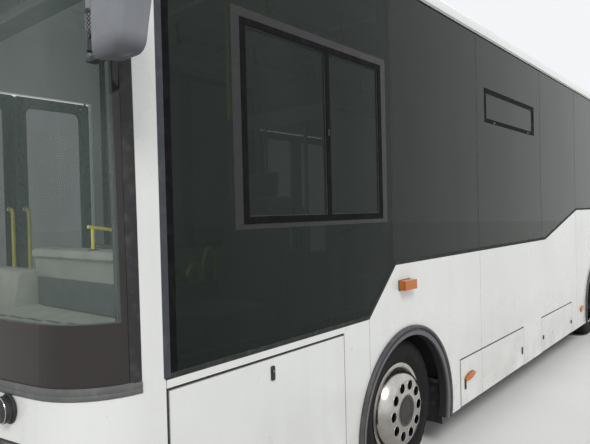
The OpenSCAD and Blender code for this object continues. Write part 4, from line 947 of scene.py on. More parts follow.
def make_wiper_details():
    """Hub caps with a bright rim, their gaskets and the arm springs of the two wipers."""
    piece = Piece("wiper_details", "fitting_black", BLACK)
    arm = math.radians(15)
    for y in (-0.820, 0.060):
        tip = NOSE + (WIPER_Z - SKIRT) * math.tan(LEAN)
        face = tip + NOSE_R - math.sqrt(NOSE_R ** 2 - y ** 2) - WIPER_OUT * MM
        flat = min(1.0, (face - NOSE) / 0.019)
        gasket = [(50.5, -2), (50.5, 2.5), (47, 6), (44.5, 6)]
        for profile, n, mat in (
                ([(44.3, -22), (44.6, -2), (44, -0.6)], 48, BLACK),
                ([(44, -0.6), (43.2, 1), (41.2, 1.2), (40.5, 0.6)], 48, STEEL),
                ([(r, h * flat) for r, h in ((40.5, 0.8), (37.5, 4), (30, 8.5), (18, 11.5), (0, 12.5))],
                 48, BLACK),
                ([(r, h * flat) for r, h in ((10, 10), (10, 16.5), (8.5, 18), (0, 18))], 6, STEEL),
                ([(r, h - WIPER_OUT) for r, h in gasket], 40, RUBBER)):
            piece.lathe(profile, (face, y, WIPER_Z), (-1, 0, 0), n, mat)
        for k in range(11):
            r = 0.075 + 0.011 * k
            at = (face + 0.004 - 0.0001 * k, y + r * math.cos(arm), WIPER_Z + r * math.sin(arm))
            piece.lathe([(4.5, -1.2), (6.2, 0), (4.5, 1.2)], at, (0, math.cos(arm), math.sin(arm)), 10, STEEL)
    piece.done(30)


# Cab

DRIVER_Y, POD_Z, HOOD_Z, SHELF_Z = -0.640, 1.150, 1.430, 1.200
WHEEL_AT, COLUMN_TILT = Vector((AXLE_F - 1.400, DRIVER_Y, 1.330)), math.radians(28)
DASH_BACK = NOSE + 0.420


def make_dashboard():
    """Dashboard body: cabinet with a shelf along the screen, a low ledge and the driver's raised hood."""
    piece = Piece("dashboard_body", "dash_plastic", DASH)
    for y0, y1, foot in ((-1.105, -0.330, 0.602), (-0.330, 0.478, 0.372)):
        rings = []
        for y in spaced(y0, y1, 8):
            low, top = (nose_across(y, z, -0.052)[0].x for z in (foot, SHELF_Z))
            rings.append([(low, y, foot), (top, y, SHELF_Z - 0.012), (top + 0.010, y, SHELF_Z),
                          (DASH_BACK - 0.014, y, SHELF_Z), (DASH_BACK, y, SHELF_Z - 0.014),
                          (DASH_BACK, y, foot)])
        piece.loft(rings)
    ledge = mm((290, 1195), (312, 1322), (322, 1336), (338, 1342), (402, 1342), (415, 1336),
               (419, 1322), (419, 1195))
    hood = mm((392, 1195), (376, 1392), (364, 1402), (364, 1420), (370, 1428), (382, 1431),
              (474, 1431), (486, 1427), (490, 1418), (490, 1392), (452, 1380), (440, 1195))
    for y0, y1, soft, shape in ((-0.425, 0.472, 0.012, ledge), (-1.045, -0.425, 0.014, hood)):
        middle = sum(x for x, _ in shape) / len(shape)
        rings = []
        for inset, y in ((soft, y0), (soft * 0.3, y0 + soft * 0.3), (0.0, y0 + soft), (0.0, y1 - soft),
                         (soft * 0.3, y1 - soft * 0.3), (soft, y1)):
            rings.append([(NOSE + x + (inset if x < middle else -inset), y, z - (inset if z > 1.3 else 0.0))
                          for x, z in shape])
        piece.loft(rings)
    # Recessed dark panel on the hood's face, demister slots on the shelf and joints of the moulding
    piece.box((NOSE + 0.376, -1.015, 1.205), (NOSE + 0.400, -0.455, 1.318), 0.003, DASH_DARK)
    for k in range(14):
        y = -0.985 + 0.105 * k
        x = nose_across(y, SHELF_Z, -0.052)[0].x + 0.050
        piece.box((x, y - 0.044, SHELF_Z - 0.002), (x + 0.014, y + 0.044, SHELF_Z + 0.0012), 0.0005, BLACK)
    for y in (-0.120, 0.180):
        piece.box((NOSE + 0.300, y - 0.0014, 1.340), (NOSE + 0.410, y + 0.0014, 1.3428), 0.0004, BLACK)
    for y in (-0.900, -0.560):
        piece.box((NOSE + 0.385, y - 0.0012, 1.4295), (NOSE + 0.474, y + 0.0012, 1.4318), 0.0004, BLACK)
    piece.box((DASH_BACK - 0.004, -0.300, 0.420), (DASH_BACK + 0.006, 0.440, 1.130), 0.004)
    piece.box((DASH_BACK + 0.004, 0.050, 0.760), (DASH_BACK + 0.014, 0.110, 0.780), 0.003, BLACK)
    # Shroud of the steering column
    axis = (math.sin(COLUMN_TILT), 0, math.cos(COLUMN_TILT))
    piece.lathe([(48, -430), (48, -120), (45, -70), (41, -55), (34, -52)], WHEEL_AT, axis, 32, DASH_DARK)
    piece.block((DASH_BACK + 0.070, DRIVER_Y, 1.0625), (0.090, 0.060, 0.0425), 0.012, DASH_DARK)
    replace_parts(piece.done(34), "dashboard")


def make_dashboard_details():
    """Instrument pod, dials, switches and the yellow rail of the dashboard."""
    piece = Piece("dash_details", "dash_plastic", DASH_DARK)
    pod = mm((200, 0), (195, 30), (165, 80), (100, 95), (45, 85), (10, 50), (0, 0))
    rings = []
    for t in spaced(0, 1, 12):
        swell = math.sin(math.pi * min(max(t, 0.04), 0.96)) ** 0.35
        rings.append([(DASH_BACK - 0.030 + dx, DRIVER_Y - 0.250 + 0.500 * t, POD_Z - 0.012 + dz * swell)
                      for dx, dz in pod])
    piece.loft(rings)
    axis = Vector((0.93, 0, 0.36)).normalized()
    side = axis.orthogonal().normalized()
    other = axis.cross(side)
    for dy, r in ((-0.110, 52), (0.0, 34), (0.100, 52)):
        at = Vector((DASH_BACK + 0.150, DRIVER_Y + dy, POD_Z + 0.032))
        piece.lathe([(0, 4), (r - 5, 4), (r - 4, 8), (r, 9), (r + 3, 5), (r + 3, -10)], at, axis, 40)
        piece.lathe([(0, 4.8), (r - 6, 4.8)], at, axis, 40, DIAL)
        for k in range(9):
            a = math.radians(-210 + 30 * k)
            p = at + axis * 0.0052 + (side * math.cos(a) + other * math.sin(a)) * (r - 12) * MM
            piece.block(p, (0.0012,) * 3, 0.0004, STEEL)
    for row, k in product(range(2), range(8)):
        piece.block((DASH_BACK + 0.191, DRIVER_Y - 0.170 + 0.049 * k, POD_Z - 0.041 + 0.030 * row),
                    (0.015, 0.018, 0.011), 0.004)
    # Yellow rail on the hood: a post and a level bar with a bent end
    x, y = AXLE_F - 1.743, -0.850
    piece.tube([(x, y, HOOD_Z - 0.004), (x, y, HOOD_Z + 0.084)], 0.0060, 14, RAIL)
    bar = ((-0.018, 0.088), (0.096, 0.070), (0.108, 0.062), (0.114, 0.045), (0.116, POD_Z - HOOD_Z))
    piece.tube([(x + a, y, HOOD_Z + b) for a, b in bar], 0.0065, 14, RAIL)
    piece.lathe([(18, 0), (18, 3), (14, 5), (6.2, 6)], (x, y, HOOD_Z), UP, 24)
    piece.done(34)


def make_cab_rail():
    """Rail along the cab's open side with two yellow grips, on the partition and the platform's edge."""
    piece = Piece("cab_rail", "rail_yellow", GREY_PLASTIC)
    y, z, x0, x1 = -0.372, 1.180, AXLE_F - 1.000, AXLE_F - 0.582
    piece.tube([(x0, y, 0.602), (x0, y, z - 0.05), (x0 + 0.015, y, z - 0.015), (x0 + 0.05, y, z), (x1, y, z)],
               0.015, 14)
    piece.lathe([(34, 0), (34, 4), (20, 10), (15, 12)], (x0, y, 0.600), UP, 24, BLACK)
    piece.box((x0 + 0.02, y - 0.004, 0.640), (x1 - 0.004, y + 0.004, z - 0.018), 0.003)
    for x, top, turn in ((x0 + 0.075, 1.290, 1), (x1 - 0.130, 1.365, -1)):
        loop = arc(0.052, 0.0, 1.0, 180, 0, 12)
        piece.tube([(x + turn * (0.052 + 0.052 * (a - 0.052)), y, z + (top - z) * b) for a, b in loop],
                   0.0125, 14, RAIL)
    piece.done(34)


def pillow(piece, size, crown, place, channels, n, r, dome=0.0):
    """Crowned pad: a round-edged block whose upper face swells between its seams."""
    half = Vector(size) / 2
    r = min(r, half.z * 0.98)

    def at(p):
        core = Vector([max(min(p[i], half[i] - r), r - half[i]) for i in range(3)])
        away = p - core
        q = core + away.normalized() * r if away.length > 1e-9 else p
        u, v = q.x / half.x, q.y / half.y
        if q.z > 0:
            lift = crown * (1 - u * u) * (1 - v ** 4) + dome * (v * v)
            for axis, where, wide, deep in channels:
                d = abs((u if axis == "u" else v) - where) / wide
                lift -= deep * math.exp(-d * d)
            q.z += lift * min(1.0, q.z / half.z)
        q.x -= math.copysign(0.006 * (1 - abs(v) ** 3), q.x) * (abs(u) ** 6)
        return q

    verts, faces, index = [], [], {}

    def corner(p):
        key = tuple(round(c, 6) for c in p)
        if key not in index:
            index[key] = len(verts)
            verts.append(place @ at(Vector(p)))
        return index[key]

    for axis, sign in product(range(3), (-1, 1)):
        u, v = (axis + 1) % 3, (axis + 2) % 3
        nu, nv = (4 if k == 2 else n for k in (u, v))
        for i, j in product(range(nu), range(nv)):
            loop = []
            for a, b in ((i, j), (i + 1, j), (i + 1, j + 1), (i, j + 1)):
                p = [0.0, 0.0, 0.0]
                p[axis] = sign * half[axis]
                p[u] = half[u] * (2 * a / nu - 1)
                p[v] = half[v] * (2 * b / nv - 1)
                loop.append(corner(p))
            faces.append(loop[::sign])
    piece.add(verts, faces)


def tilted(x, y, z, tilt):
    return Matrix.Translation((x, y, z)) @ Matrix.Rotation(math.radians(tilt), 4, "Y")


BACK_TILT = 8 - 90


def make_driver_seat():
    """Driver's seat: pedestal in a bellows, padded pan and back with sewn channels, headrest and belt."""
    x, y, floor = WHEEL_AT.x + 0.405, DRIVER_Y, 0.600
    carrier = Piece("driver_seat_frame", "driver_fabric", BLACK)
    rings = []
    for k in range(15):
        half = 0.142 if k % 2 else 0.122
        rings.append([(x + u, y + v, floor + 0.045 + 0.022 * k)
                      for u, v in round_rect(-half, -half, half, half, 0.04, 4)])
    carrier.loft(rings)
    carrier.box((x - 0.149, y - 0.149, floor), (x + 0.149, y + 0.149, floor + 0.045), 0.006)
    carrier.box((x - 0.21, y - 0.215, floor + 0.350), (x + 0.22, y + 0.215, floor + 0.410), 0.010)
    belt = [(x + 0.27, y - 0.190, floor + 1.00), (x + 0.235, y - 0.185, floor + 0.80),
            (x + 0.20, y - 0.215, floor + 0.56)]
    carrier.sweep(belt, (-1, 0, 0.1), section((22, 0), (22, 1.6)))
    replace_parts(carrier.done(40), "driver_seat")
    pad = Piece("driver_seat_pads", "driver_fabric", DRIVER_CLOTH)
    sewn = (("v", 0.56, 0.035, 0.010), ("v", -0.56, 0.035, 0.010), ("u", 0.45, 0.04, 0.007),
            ("u", 0.0, 0.04, 0.007))
    pillow(pad, (0.470, 0.470, 0.085), 0.012, tilted(x + 0.008, y, floor + 0.445, -2), sewn, 22, 0.030, 0.010)
    pillow(pad, (0.590, 0.450, 0.072), 0.010, tilted(x + 0.310, y, floor + 0.745, BACK_TILT), sewn, 22,
           0.028, 0.012)
    pillow(pad, (0.140, 0.250, 0.056), 0.008, tilted(x + 0.366, y, floor + 1.105, BACK_TILT), (), 14, 0.024)
    pad.done(60)


WALL_SEAT, AISLE_SEAT = 0.870, 0.430
PAIR, FOUR = (-WALL_SEAT, -AISLE_SEAT), (-WALL_SEAT, -AISLE_SEAT, AISLE_SEAT, WALL_SEAT)
# Rows of seats: place along the body, floor's height and places across
SEAT_ROWS = (
    (AXLE_F + 0.900, 0.355, PAIR), (AXLE_F + 1.700, 0.355, PAIR), (AXLE_F + 2.500, 0.355, PAIR),
    (AXLE_F + 0.880, 0.355, (WALL_SEAT,)), (AXLE_R - 1.620, 0.355, (WALL_SEAT,)),
    (AXLE_R - 0.620, 0.760, FOUR), (TAIL - 1.500, 1.110, FOUR),
    (TAIL - 0.680, 1.110, PAIR + (0.0,) + FOUR[2:]),
)
SEAT_H, SEAT_L, SEAT_W, SEAT_T, SEAT_BACK = 0.440, 0.420, 0.420, 0.038, 0.480


def make_seat_pads():
    """Cloth pads on every passenger seat and a yellow grip at each seat's corner."""
    pads = Piece("passenger_seat_pads", "seat_plastic", CLOTH)
    grips = Piece("passenger_seat_grips", "rail_yellow", RAIL)
    lean, seam, up = math.radians(8), (("u", 0.1, 0.05, 0.004),), SEAT_BACK * 0.56
    for x, floor, places in SEAT_ROWS:
        back = x + SEAT_L / 2 - SEAT_T - 0.006
        tx = back + SEAT_T / 2 + math.sin(lean) * SEAT_BACK
        top = floor + SEAT_H + SEAT_BACK * math.cos(lean) - 0.012
        for y in places:
            pillow(pads, (SEAT_L - 0.070, SEAT_W - 0.040, 0.026), 0.008,
                   tilted(x - 0.012, y, floor + SEAT_H + 0.012, 0.0), seam, 8, 0.012)
            pillow(pads, (SEAT_BACK - 0.110, SEAT_W - 0.050, 0.026), 0.007,
                   tilted(back + math.sin(lean) * up - 0.010, y, floor + SEAT_H + up, BACK_TILT),
                   seam, 8, 0.012)
            edge = y - math.copysign(SEAT_W / 2 - 0.045, y) if y else 0.165
            inward = math.copysign(1, edge)
            grips.tube([(tx, edge - inward * 0.030 * a, top + 0.052 * b)
                        for a, b in arc(0, 0, 1.0, 0, 180, 9)], 0.0105, 10)
    pads.done(60)
    grips.done()


CEILING = 2.895


def make_ceiling():
    """Ceiling lamps, and rails under the roof with their hangers and collars."""
    piece = Piece("ceiling_fittings", "rail_yellow", RAIL)
    z = CEILING - 0.11
    for y in (-AISLE_SEAT, AISLE_SEAT):
        piece.tube([(AXLE_F - 0.35, y, z), (AXLE_R + 1.900, y, z)], 0.0160)
        for k in range(9):
            x = AXLE_F - 0.30 + 0.78 * k
            piece.tube([(x, y, z), (x, y, CEILING + 0.018)], 0.009, 8, BLACK)
            piece.lathe([(16.2, -22), (19, -18), (19, 18), (16.2, 22)], (x, y, z), (1, 0, 0), 16, BLACK)
    for y in (-0.720, 0.720):
        for k in range(9):
            piece.block((AXLE_F + 0.11 + 0.80 * k, y, CEILING - 0.001), (0.31, 0.055, 0.011),
                        0.006, LAMP_WHITE)
    piece.done(34)


# Front end

LAMP_Z = 0.730
SEAM = section((1.4, -2), (1.4, 0.6))


def make_head_lamps():
    """Behind each clear cover: a black mask, two bright bowls with bulbs and an amber indicator."""
    rim = section((4, -6), (3, 1.5))
    for side, word in SIDES:
        piece = Piece("head_lamp_%s" % word, "lamp_plastic", DASH_DARK)
        nose_sheet(piece, side * 0.575, side * 1.015, 0.655, 0.805, -0.040, DASH_DARK)
        for y, r in ((0.665, 66), (0.825, 60)):
            at, normal = nose_across(side * y, LAMP_Z, -0.006)
            level = normal.cross(UP).normalized()
            bowl = [(r + 7, -34), (r + 7, -4), (r + 3, -1), (r, -4)]
            bowl += [(r * (1 - t) ** 0.5, -4 - 40 * t) for t in (0.15, 0.30, 0.45, 0.60, 0.75, 0.88, 0.97)]
            piece.lathe(bowl, at, normal, 48, STEEL)
            piece.lathe([(12, -42), (10, -26), (6, -18), (0, -16)], at, normal, 20, LAMP_WHITE)
            for a, b in around(3, (r + 14) * MM):
                piece.lathe([(0, -20), (4, -21), (4, -34)], at + level * a + UP * b, normal, 12, STEEL)
        at, normal = nose_across(side * 0.952, LAMP_Z, -0.008)
        piece.lathe([(44, -30), (44, -6), (40, -2), (28, 1), (0, 2)], at, normal, 36, AMBER)
        for z in (0.8225, 0.6375):
            nose_strip(piece, z, side * 0.600, side * 0.990, rim, RUBBER, 12)
        piece.done(30)


def blank_plate(piece, at, normal, u, holder, thick, face, screws):
    """Number plate without a number, on its holder, with two screws."""
    v = normal.cross(u).normalized()
    piece.plate(round_rect(-0.267, -0.063, 0.267, 0.063, 0.008, 3), at + normal * holder, u, v, thick,
                BLACK, 0.002)
    piece.plate(round_rect(-0.260, -0.055, 0.260, 0.055, 0.007, 3), at + normal * face, u, v, 0.0022,
                PLATE, 0.0008)
    for y in (-0.200, 0.200):
        piece.lathe([(0, 2.8), (4, 2.4), (5.2, 0)], at + normal * screws + u * y, normal, 14, STEEL)


def make_front_details():
    """Flap seams with locks, bumper intake with slats, fog lamps, blank number plate and towing cover."""
    piece = Piece("front_details", "fitting_black", BLACK)
    for z in (0.862, 0.600):
        nose_strip(piece, z, -0.530, 0.530, SEAM, RUBBER, 24)
    for y in (-0.530, 0.530):
        nose_upright(piece, y, 0.600, 0.862, SEAM, RUBBER)
    for y in (-0.400, 0.400):
        at, normal = nose_across(y, 0.640)
        piece.lathe([(18.5, 0), (18.5, 2.8), (16.5, 4.2), (10, 4.2), (9, 2.2), (0, 2.2)], at, normal, 28)
        piece.lathe([(4, 2.2), (3.6, 5), (0, 5.4)], at, normal, 10, STEEL)
    # Intake: dark sheet, a frame round it and three slats
    nose_sheet(piece, -0.420, 0.420, 0.268, 0.392, 0.0012, DASH_DARK, 20)
    bar = section((9, -3), (8, 2), (4, 3.2))
    for z in (0.262, 0.398):
        nose_strip(piece, z, -0.428, 0.428, bar, steps=20)
    for y in (-0.425, 0.425):
        nose_upright(piece, y, 0.262, 0.398, bar)
    for z in (0.296, 0.330, 0.364):
        nose_strip(piece, z, -0.418, 0.418,
                   mm((-7.5, 0.8), (7.5, 0.8), (6, 2.6), (0, 3.2), (-7.5, 1.8)), steps=20)
    # Fog lamps on the bumper
    for y in (-0.720, 0.720):
        at, normal = nose_across(y, 0.335)
        piece.lathe([(62, -4), (62, 4), (59, 7), (50, 7.4), (47, 4.5)], at, normal, 44)
        piece.lathe([(47, 4), (44, 6.2), (30, 8.6), (0, 9.6)], at, normal, 44, CLEAR)
        piece.lathe([(44, 3.6), (30, 1.2), (12, 0.6), (0, 0.6)], at, normal, 32, STEEL)
    at, normal = nose_across(0.0, 0.480)
    blank_plate(piece, at, normal, Vector((0, -1, 0)), 0.0045, 0.012, 0.0070, 0.0070)
    # Round cover of the towing place
    at, normal = nose_across(0.560, 0.420)
    piece.lathe([(40, -1), (40, 0.8), (38, 1.6), (0, 2)], at, normal, 36, FAINT)
    piece.done(32)


def make_sign_box():
    """Blank destination box behind the top of the windscreen, and the driver's roller blind."""
    piece = Piece("sign_box", "dash_plastic", DASH_DARK)
    x, z0, z1 = -4.235, 2.400, 2.640
    piece.box((x, -0.780, z0), (x + 0.120, 0.780, z1), 0.010)
    piece.box((x - 0.004, -0.740, z0 + 0.030), (x + 0.003, 0.740, z1 - 0.030), 0.0015, SIGN_FACE)
    for y in (-0.765, 0.765):
        piece.box((x - 0.006, y - 0.012, z0 + 0.008), (x + 0.004, y + 0.012, z1 - 0.008), 0.002)
    piece.tube([(-4.330, -1.000, 2.560), (-4.330, -0.820, 2.560)], 0.016, 16, GREY_PLASTIC)
    piece.done(30)


# Doors

# Each leaf: its node, its two ends along the body, and the hinge's end
DOOR_LEAVES = (
    ("front_door_leaf_1", -4.124, -3.5925, -1), ("front_door_leaf_2", -3.5785, -3.047, 1),
    ("mid_door_leaf_1", -1.196, -0.617, -1), ("mid_door_leaf_2", -0.603, -0.024, 1),
)
LEAF_Z, LEAF_TOP, LEAF_IN = 0.370, 2.385, SIDE - 0.036


def make_door_details():
    """Each door leaf's glass seals, edge rubbers, strips at foot and top, grab bar and arm brackets."""
    for node, x0, x1, hinge in DOOR_LEAVES:
        piece = Piece(node + "_fittings", "arch_rubber", RUBBER, node)
        ring = round_rect(x0 + 0.060, LEAF_Z + 0.100, x1 - 0.060, LEAF_TOP - 0.060, 0.056, 8)
        for y, out in ((SIDE - 0.0035, 1), (LEAF_IN + 0.0025, -1)):
            piece.sweep([(x, y, z) for x, z in ring], (0, out, 0),
                        section((6, -2), (6, 2.2), (0, 4)), closed=True)
        free, arm = (x1, x0 + 0.055) if hinge < 0 else (x0, x1 - 0.055)
        lo, hi = sorted((free + hinge * 0.0005, free - hinge * 0.0042))
        for y in (SIDE - 0.008, LEAF_IN + 0.009):
            piece.box((lo, y - 0.005, LEAF_Z + 0.004), (hi, y + 0.005, LEAF_TOP - 0.004), 0.0018)
        lo, hi = sorted((free + hinge * 0.026, free + hinge * 0.002))
        piece.box((lo, SIDE - 0.0005, LEAF_Z + 0.002), (hi, SIDE + 0.0022, LEAF_TOP - 0.002), 0.0010)
        for z0, z1 in ((LEAF_Z - 0.0065, LEAF_Z + 0.0005), (LEAF_TOP - 0.0005, LEAF_TOP + 0.0060)):
            piece.box((x0 + 0.01, LEAF_IN + 0.006, z0), (x1 - 0.01, LEAF_IN + 0.018, z1), 0.0010)
        bar = free + hinge * 0.046
        bends = ((0.002, 0.900), (-0.024, 0.905), (-0.036, 0.925), (-0.038, 0.960), (-0.038, 1.560),
                 (-0.036, 1.595), (-0.024, 1.615), (0.002, 1.620))
        piece.tube([(bar, LEAF_IN + y, z) for y, z in bends], 0.0130, 14, RAIL)
        for z in (0.900, 1.620):
            piece.lathe([(22.5, 0), (22.5, 3), (19, 5), (13, 6)], (bar, LEAF_IN, z), (0, -1, 0), 22, STEEL)
        for z in (LEAF_TOP - 0.033, LEAF_Z + 0.033):
            piece.block((arm, LEAF_IN - 0.004, z), (0.028, 0.005, 0.025), 0.003, BLACK)
            for dx in (-0.016, 0.016):
                piece.lathe([(4.8, 9), (4.8, 12.5), (3.6, 13.5), (0, 13.5)], (arm + dx, LEAF_IN, z),
                            (0, -1, 0), 6, STEEL)
        piece.done(30)


def make_entries():
    """Step edges, drip strips and a release cover at the two door openings."""
    piece = Piece("entry_trim", "rail_yellow", RAIL)
    for x0, x1 in ((-4.120, -3.048), (-1.200, -0.020)):
        piece.box((x0, 1.058, 0.3552), (x1, 1.112, 0.3585), 0.0010)
        for k in range(4):
            y = 1.064 + 0.011 * k
            piece.box((x0 + 0.01, y, 0.3583), (x1 - 0.01, y + 0.004, 0.3600), 0.0005, BLACK)
        piece.box((x0, 1.113, 0.322), (x1, 1.1245, 0.3565), 0.0015, STEEL)
        piece.box((x0 - 0.014, SIDE - 0.001, 2.404), (x1 + 0.016, SIDE + 0.010, 2.414), 0.003, RUBBER)
    piece.box((-1.290, SIDE - 0.001, 1.300), (-1.225, SIDE + 0.004, 1.390), 0.003, BLACK)
    piece.done(30)


# Rear end

ENGINE_LID_Z, LOUVRE_PITCH, LOUVRE_Y = 0.500, 0.044, 0.340


def make_rear_lamps():
    """Round lenses on each rear lamp's panel: indicator, tail and brake, reversing, with bezels."""
    bezel = [(66, -4), (66, 6), (63.5, 8.5), (60, 8.8), (58, 6.2)]
    face = [(58, 5), (56.5, 9.8), (50, 12.8), (40, 13.6), (38.5, 12.6), (22, 13.8), (20.5, 12.8), (0, 14)]
    for side, word in SIDES:
        piece = Piece("rear_lamp_%s" % word, "lamp_plastic", BLACK)
        for z, mat in ((1.165, AMBER), (1.022, RED), (0.878, RED), (0.735, CLEAR)):
            at, normal = tail_point(side * 0.995, z, 0.0035)
            piece.lathe(bezel, at, normal, 44)
            piece.lathe(face, at, normal, 44, mat)
            for up in (-0.0485, 0.0485):
                piece.lathe([(3, 10.5), (2.6, 14), (0, 14.2)], at + UP * up, normal, 10, STEEL)
        for z in (0.6385, 1.2615):
            tail_strip(piece, z, side * 0.935, side * 1.055, section((3.5, -4), (2.5, 6.2)), RUBBER, 8)
        piece.done(30)


def make_rear_details():
    """Joints, the rear window's rubber, a number plate without a number, plate lamps and reflectors."""
    piece = Piece("rear_details", "arch_rubber", RUBBER)
    for y in (-0.850, 0.850):
        tail_upright(piece, y, 0.475, 1.735, SEAM, FAINT)
    tail_strip(piece, 1.560, -1.100, 1.100, SEAM, FAINT, 24)
    bead = section((8.5, -6), (8.5, 1.5), (5, 3.5))
    for z in (1.737, 2.543):
        tail_strip(piece, z, -0.911, 0.911, bead, steps=20)
    for y in (-0.903, 0.903):
        tail_upright(piece, y, 1.737, 2.543, bead)
    at, normal = tail_point(0.0, 0.360)
    blank_plate(piece, at, normal, Vector((0, 1, 0)), 0.0014, 0.010, 0.0030, 0.0022)
    for y in (-0.190, 0.190):
        at = tail_point(y, 0.441)[0]
        piece.box(at - Vector((0.002, 0.040, 0.011)), at + Vector((0.006, 0.040, 0.011)), 0.003, BLACK)
        piece.box(at + Vector((0.001, -0.032, -0.0125)), at + Vector((0.005, 0.032, -0.0100)), 0.001, STEEL)
    for y in (-0.800, 0.800):
        at, normal = tail_point(y, 0.400)
        across = -normal.cross(UP).normalized()
        for w, h, r, out, thick, mat, soft in ((0.062, 0.023, 0.006, 0.0040, 0.005, BLACK, 0.001),
                                               (0.056, 0.018, 0.005, 0.0068, 0.0035, RED, 0.0012)):
            piece.plate(round_rect(-w, -h, w, h, r, 4), at + normal * out, across, UP, thick, mat, soft)
    piece.done(32)


def make_engine_lid_details():
    """Slanted blades behind the louvres with their ribs, two locks and the lower seal of the engine lid."""
    piece = Piece("engine_lid_details", "fitting_black", CHASSIS, "engine_lid")
    slant = Matrix.Rotation(math.radians(38), 3, "Y")
    for i, s in product(range(8), (-1, 1)):
        z, mid = ENGINE_LID_Z + 0.420 + i * LOUVRE_PITCH, s * LOUVRE_Y
        for k in range(4):
            at = tail_point(mid - 0.210 + 0.140 * k, z + 0.009)[0]
            piece.box(at - Vector((0.030, 0.069, 0.001)), at + Vector((-0.004, 0.069, 0.001)),
                      0.0006, turn=slant)
        piece.box((TAIL - 0.052, mid - 0.278, z - 0.004), (TAIL - 0.046, mid - 0.262, z + 0.024), 0.001)
    for s in (-1, 1):
        for y in (-0.270, -0.090, 0.090, 0.270):
            at = tail_point(s * LOUVRE_Y + y, 1.0)[0]
            piece.box((at.x - 0.052, at.y - 0.006, 0.905), (at.x - 0.042, at.y + 0.006, 1.260), 0.002)
        at, normal = tail_point(s * 0.560, 0.555)
        piece.lathe([(23, 0), (23, 3), (21, 4.5), (12.5, 4.5), (11.5, 2), (0, 2)], at, normal, 30, BLACK)
        piece.lathe([(4.5, 2), (4, 5.2), (0, 5.6)], at, normal, 10, STEEL)
    piece.box((TAIL - 0.040, -0.084, 0.524), (TAIL - 0.008, 0.084, 0.530), 0.0015, BLACK)
    piece.done(30)


# Windows and roof

LEFT_JOINTS = (-0.146, 1.048, 2.520, REAR_JOINT, TAIL_JOINT)
RIGHT_JOINTS = (0.340, REAR_JOINT, TAIL_JOINT)
# Opening windows: ends along the body, foot and top
SLIDER = (AXLE_F - 1.290, AXLE_F - 0.250, 1.510, 2.320)
SLIDER_BAR = SLIDER[0] + (SLIDER[1] - SLIDER[0]) * 0.53
TILT = (AXLE_F + 1.200, AXLE_F + 2.340, GLASS_TOP - 0.606, GLASS_TOP - 0.356)
PANE_INSET = 0.031


def make_window_rubbers():
    """Rubber in the upright joints between panes, along the glass's top and in the two opening windows."""
    piece = Piece("window_rubbers", "arch_rubber", RUBBER)
    line = section((4.2, -4), (4.2, -0.6), (2, 0.4))
    for side, joints in ((-1, LEFT_JOINTS), (1, RIGHT_JOINTS)):
        for x in joints:
            piece.sweep([(AXLE_F + x, side * (SIDE - 0.0025), z + 0.002)
                         for z in (sill_at(x), GLASS_TOP)],
                        (0, side, 0), line)
    top = mm((-3, -4), (4, -4), (4, 1), (1, 3), (-3, 1))
    for side, x0, x1 in ((-1, PILLAR_EDGE, AXLE_F + 6.690), (1, AXLE_F - 0.500, AXLE_F + 1.190),
                         (1, AXLE_F + 2.510, AXLE_F + 6.690)):
        piece.sweep([(x, side * SIDE, GLASS_TOP + 0.0035) for x in (x0, x1)], (0, side, 0), top)
    panes = (SLIDER[:1] + (SLIDER_BAR + 0.030,) + SLIDER[2:], (SLIDER_BAR,) + SLIDER[1:], TILT)
    for x0, x1, z0, z1 in panes:
        ring = round_rect(x0 + PANE_INSET, z0 + PANE_INSET, x1 - PANE_INSET, z1 - PANE_INSET, 0.004, 3)
        piece.sweep([(x, -SIDE + 0.0058, z) for x, z in ring], (0, -1, 0), section((2.4, -2), (2.4, 1.6)),
                    EDGE_RUBBER, closed=True)
    # Printed border of the main glass round the sliding window
    x0, x1, z0, z1 = SLIDER[0] - 0.0005, SLIDER[1] + 0.0005, SLIDER[2] - 0.0005, SLIDER[3] + 0.0005
    left, right, foot, head = SLIDER[0] - 0.048, SLIDER[1] + 0.046, SLIDER[2] - 0.020, SLIDER[3] + 0.036
    for ax, az, bx, bz in ((left, foot, right, z0), (left, z1, right, head), (left, z0, x0, z1),
                           (x1, z0, right, z1)):
        piece.box((ax, -SIDE + 0.0013, az), (bx, -SIDE + 0.0026, bz), 0.0002, PRINTED)
    # Catches of the sliding and the tilting pane
    piece.box((SLIDER_BAR + 0.006, -SIDE + 0.0105, 1.880), (SLIDER_BAR + 0.024, -SIDE + 0.040, 1.960),
              0.004, BLACK)
    piece.box((SLIDER_BAR + 0.010, -SIDE - 0.0040, 1.905), (SLIDER_BAR + 0.020, -SIDE + 0.002, 1.935),
              0.002, BLACK)
    for x in (TILT[0] + 0.180, TILT[1] - 0.180):
        piece.box((x - 0.022, -SIDE - 0.0050, TILT[2] + 0.003),
                  (x + 0.022, -SIDE + 0.001, TILT[2] + 0.016), 0.002, BLACK)
        piece.box((x - 0.018, -SIDE + 0.0400, TILT[3] - 0.040),
                  (x + 0.018, -SIDE + 0.062, TILT[3] - 0.014), 0.004, BLACK)
    piece.done(32)


ROOF_TOP, ROOF_R = 2.988, 15.0


def make_roof_details():
    """Sealed joints across the roof and drip gutters over the side glass."""
    piece = Piece("roof_details", "arch_rubber", SEALANT)
    for x in (-0.900, 1.500, 3.900, 6.100):
        found = [((AXLE_F + x, y, ROOF_TOP - (ROOF_R - math.sqrt(ROOF_R ** 2 - y * y))), (0, y / ROOF_R, 1))
                 for y in spaced(-1.060, 1.060, 40)]
        piece.follow(found, section((10, -3), (8.5, 1.2), (0, 2)))
    gutter = mm((-6, -2), (6, -2), (6, 4), (4.5, 10.5), (2, 11.5), (0, 5.5), (-6, 3.5))
    for side in (-1, 1):
        piece.sweep([(x, side * SIDE, 2.805) for x in (PILLAR_EDGE + 0.20, TAIL - 0.42)], (0, side, 0),
                    [(a * -side, b) for a, b in gutter], PAINT)
    piece.done(32)


# Camera, light and floor

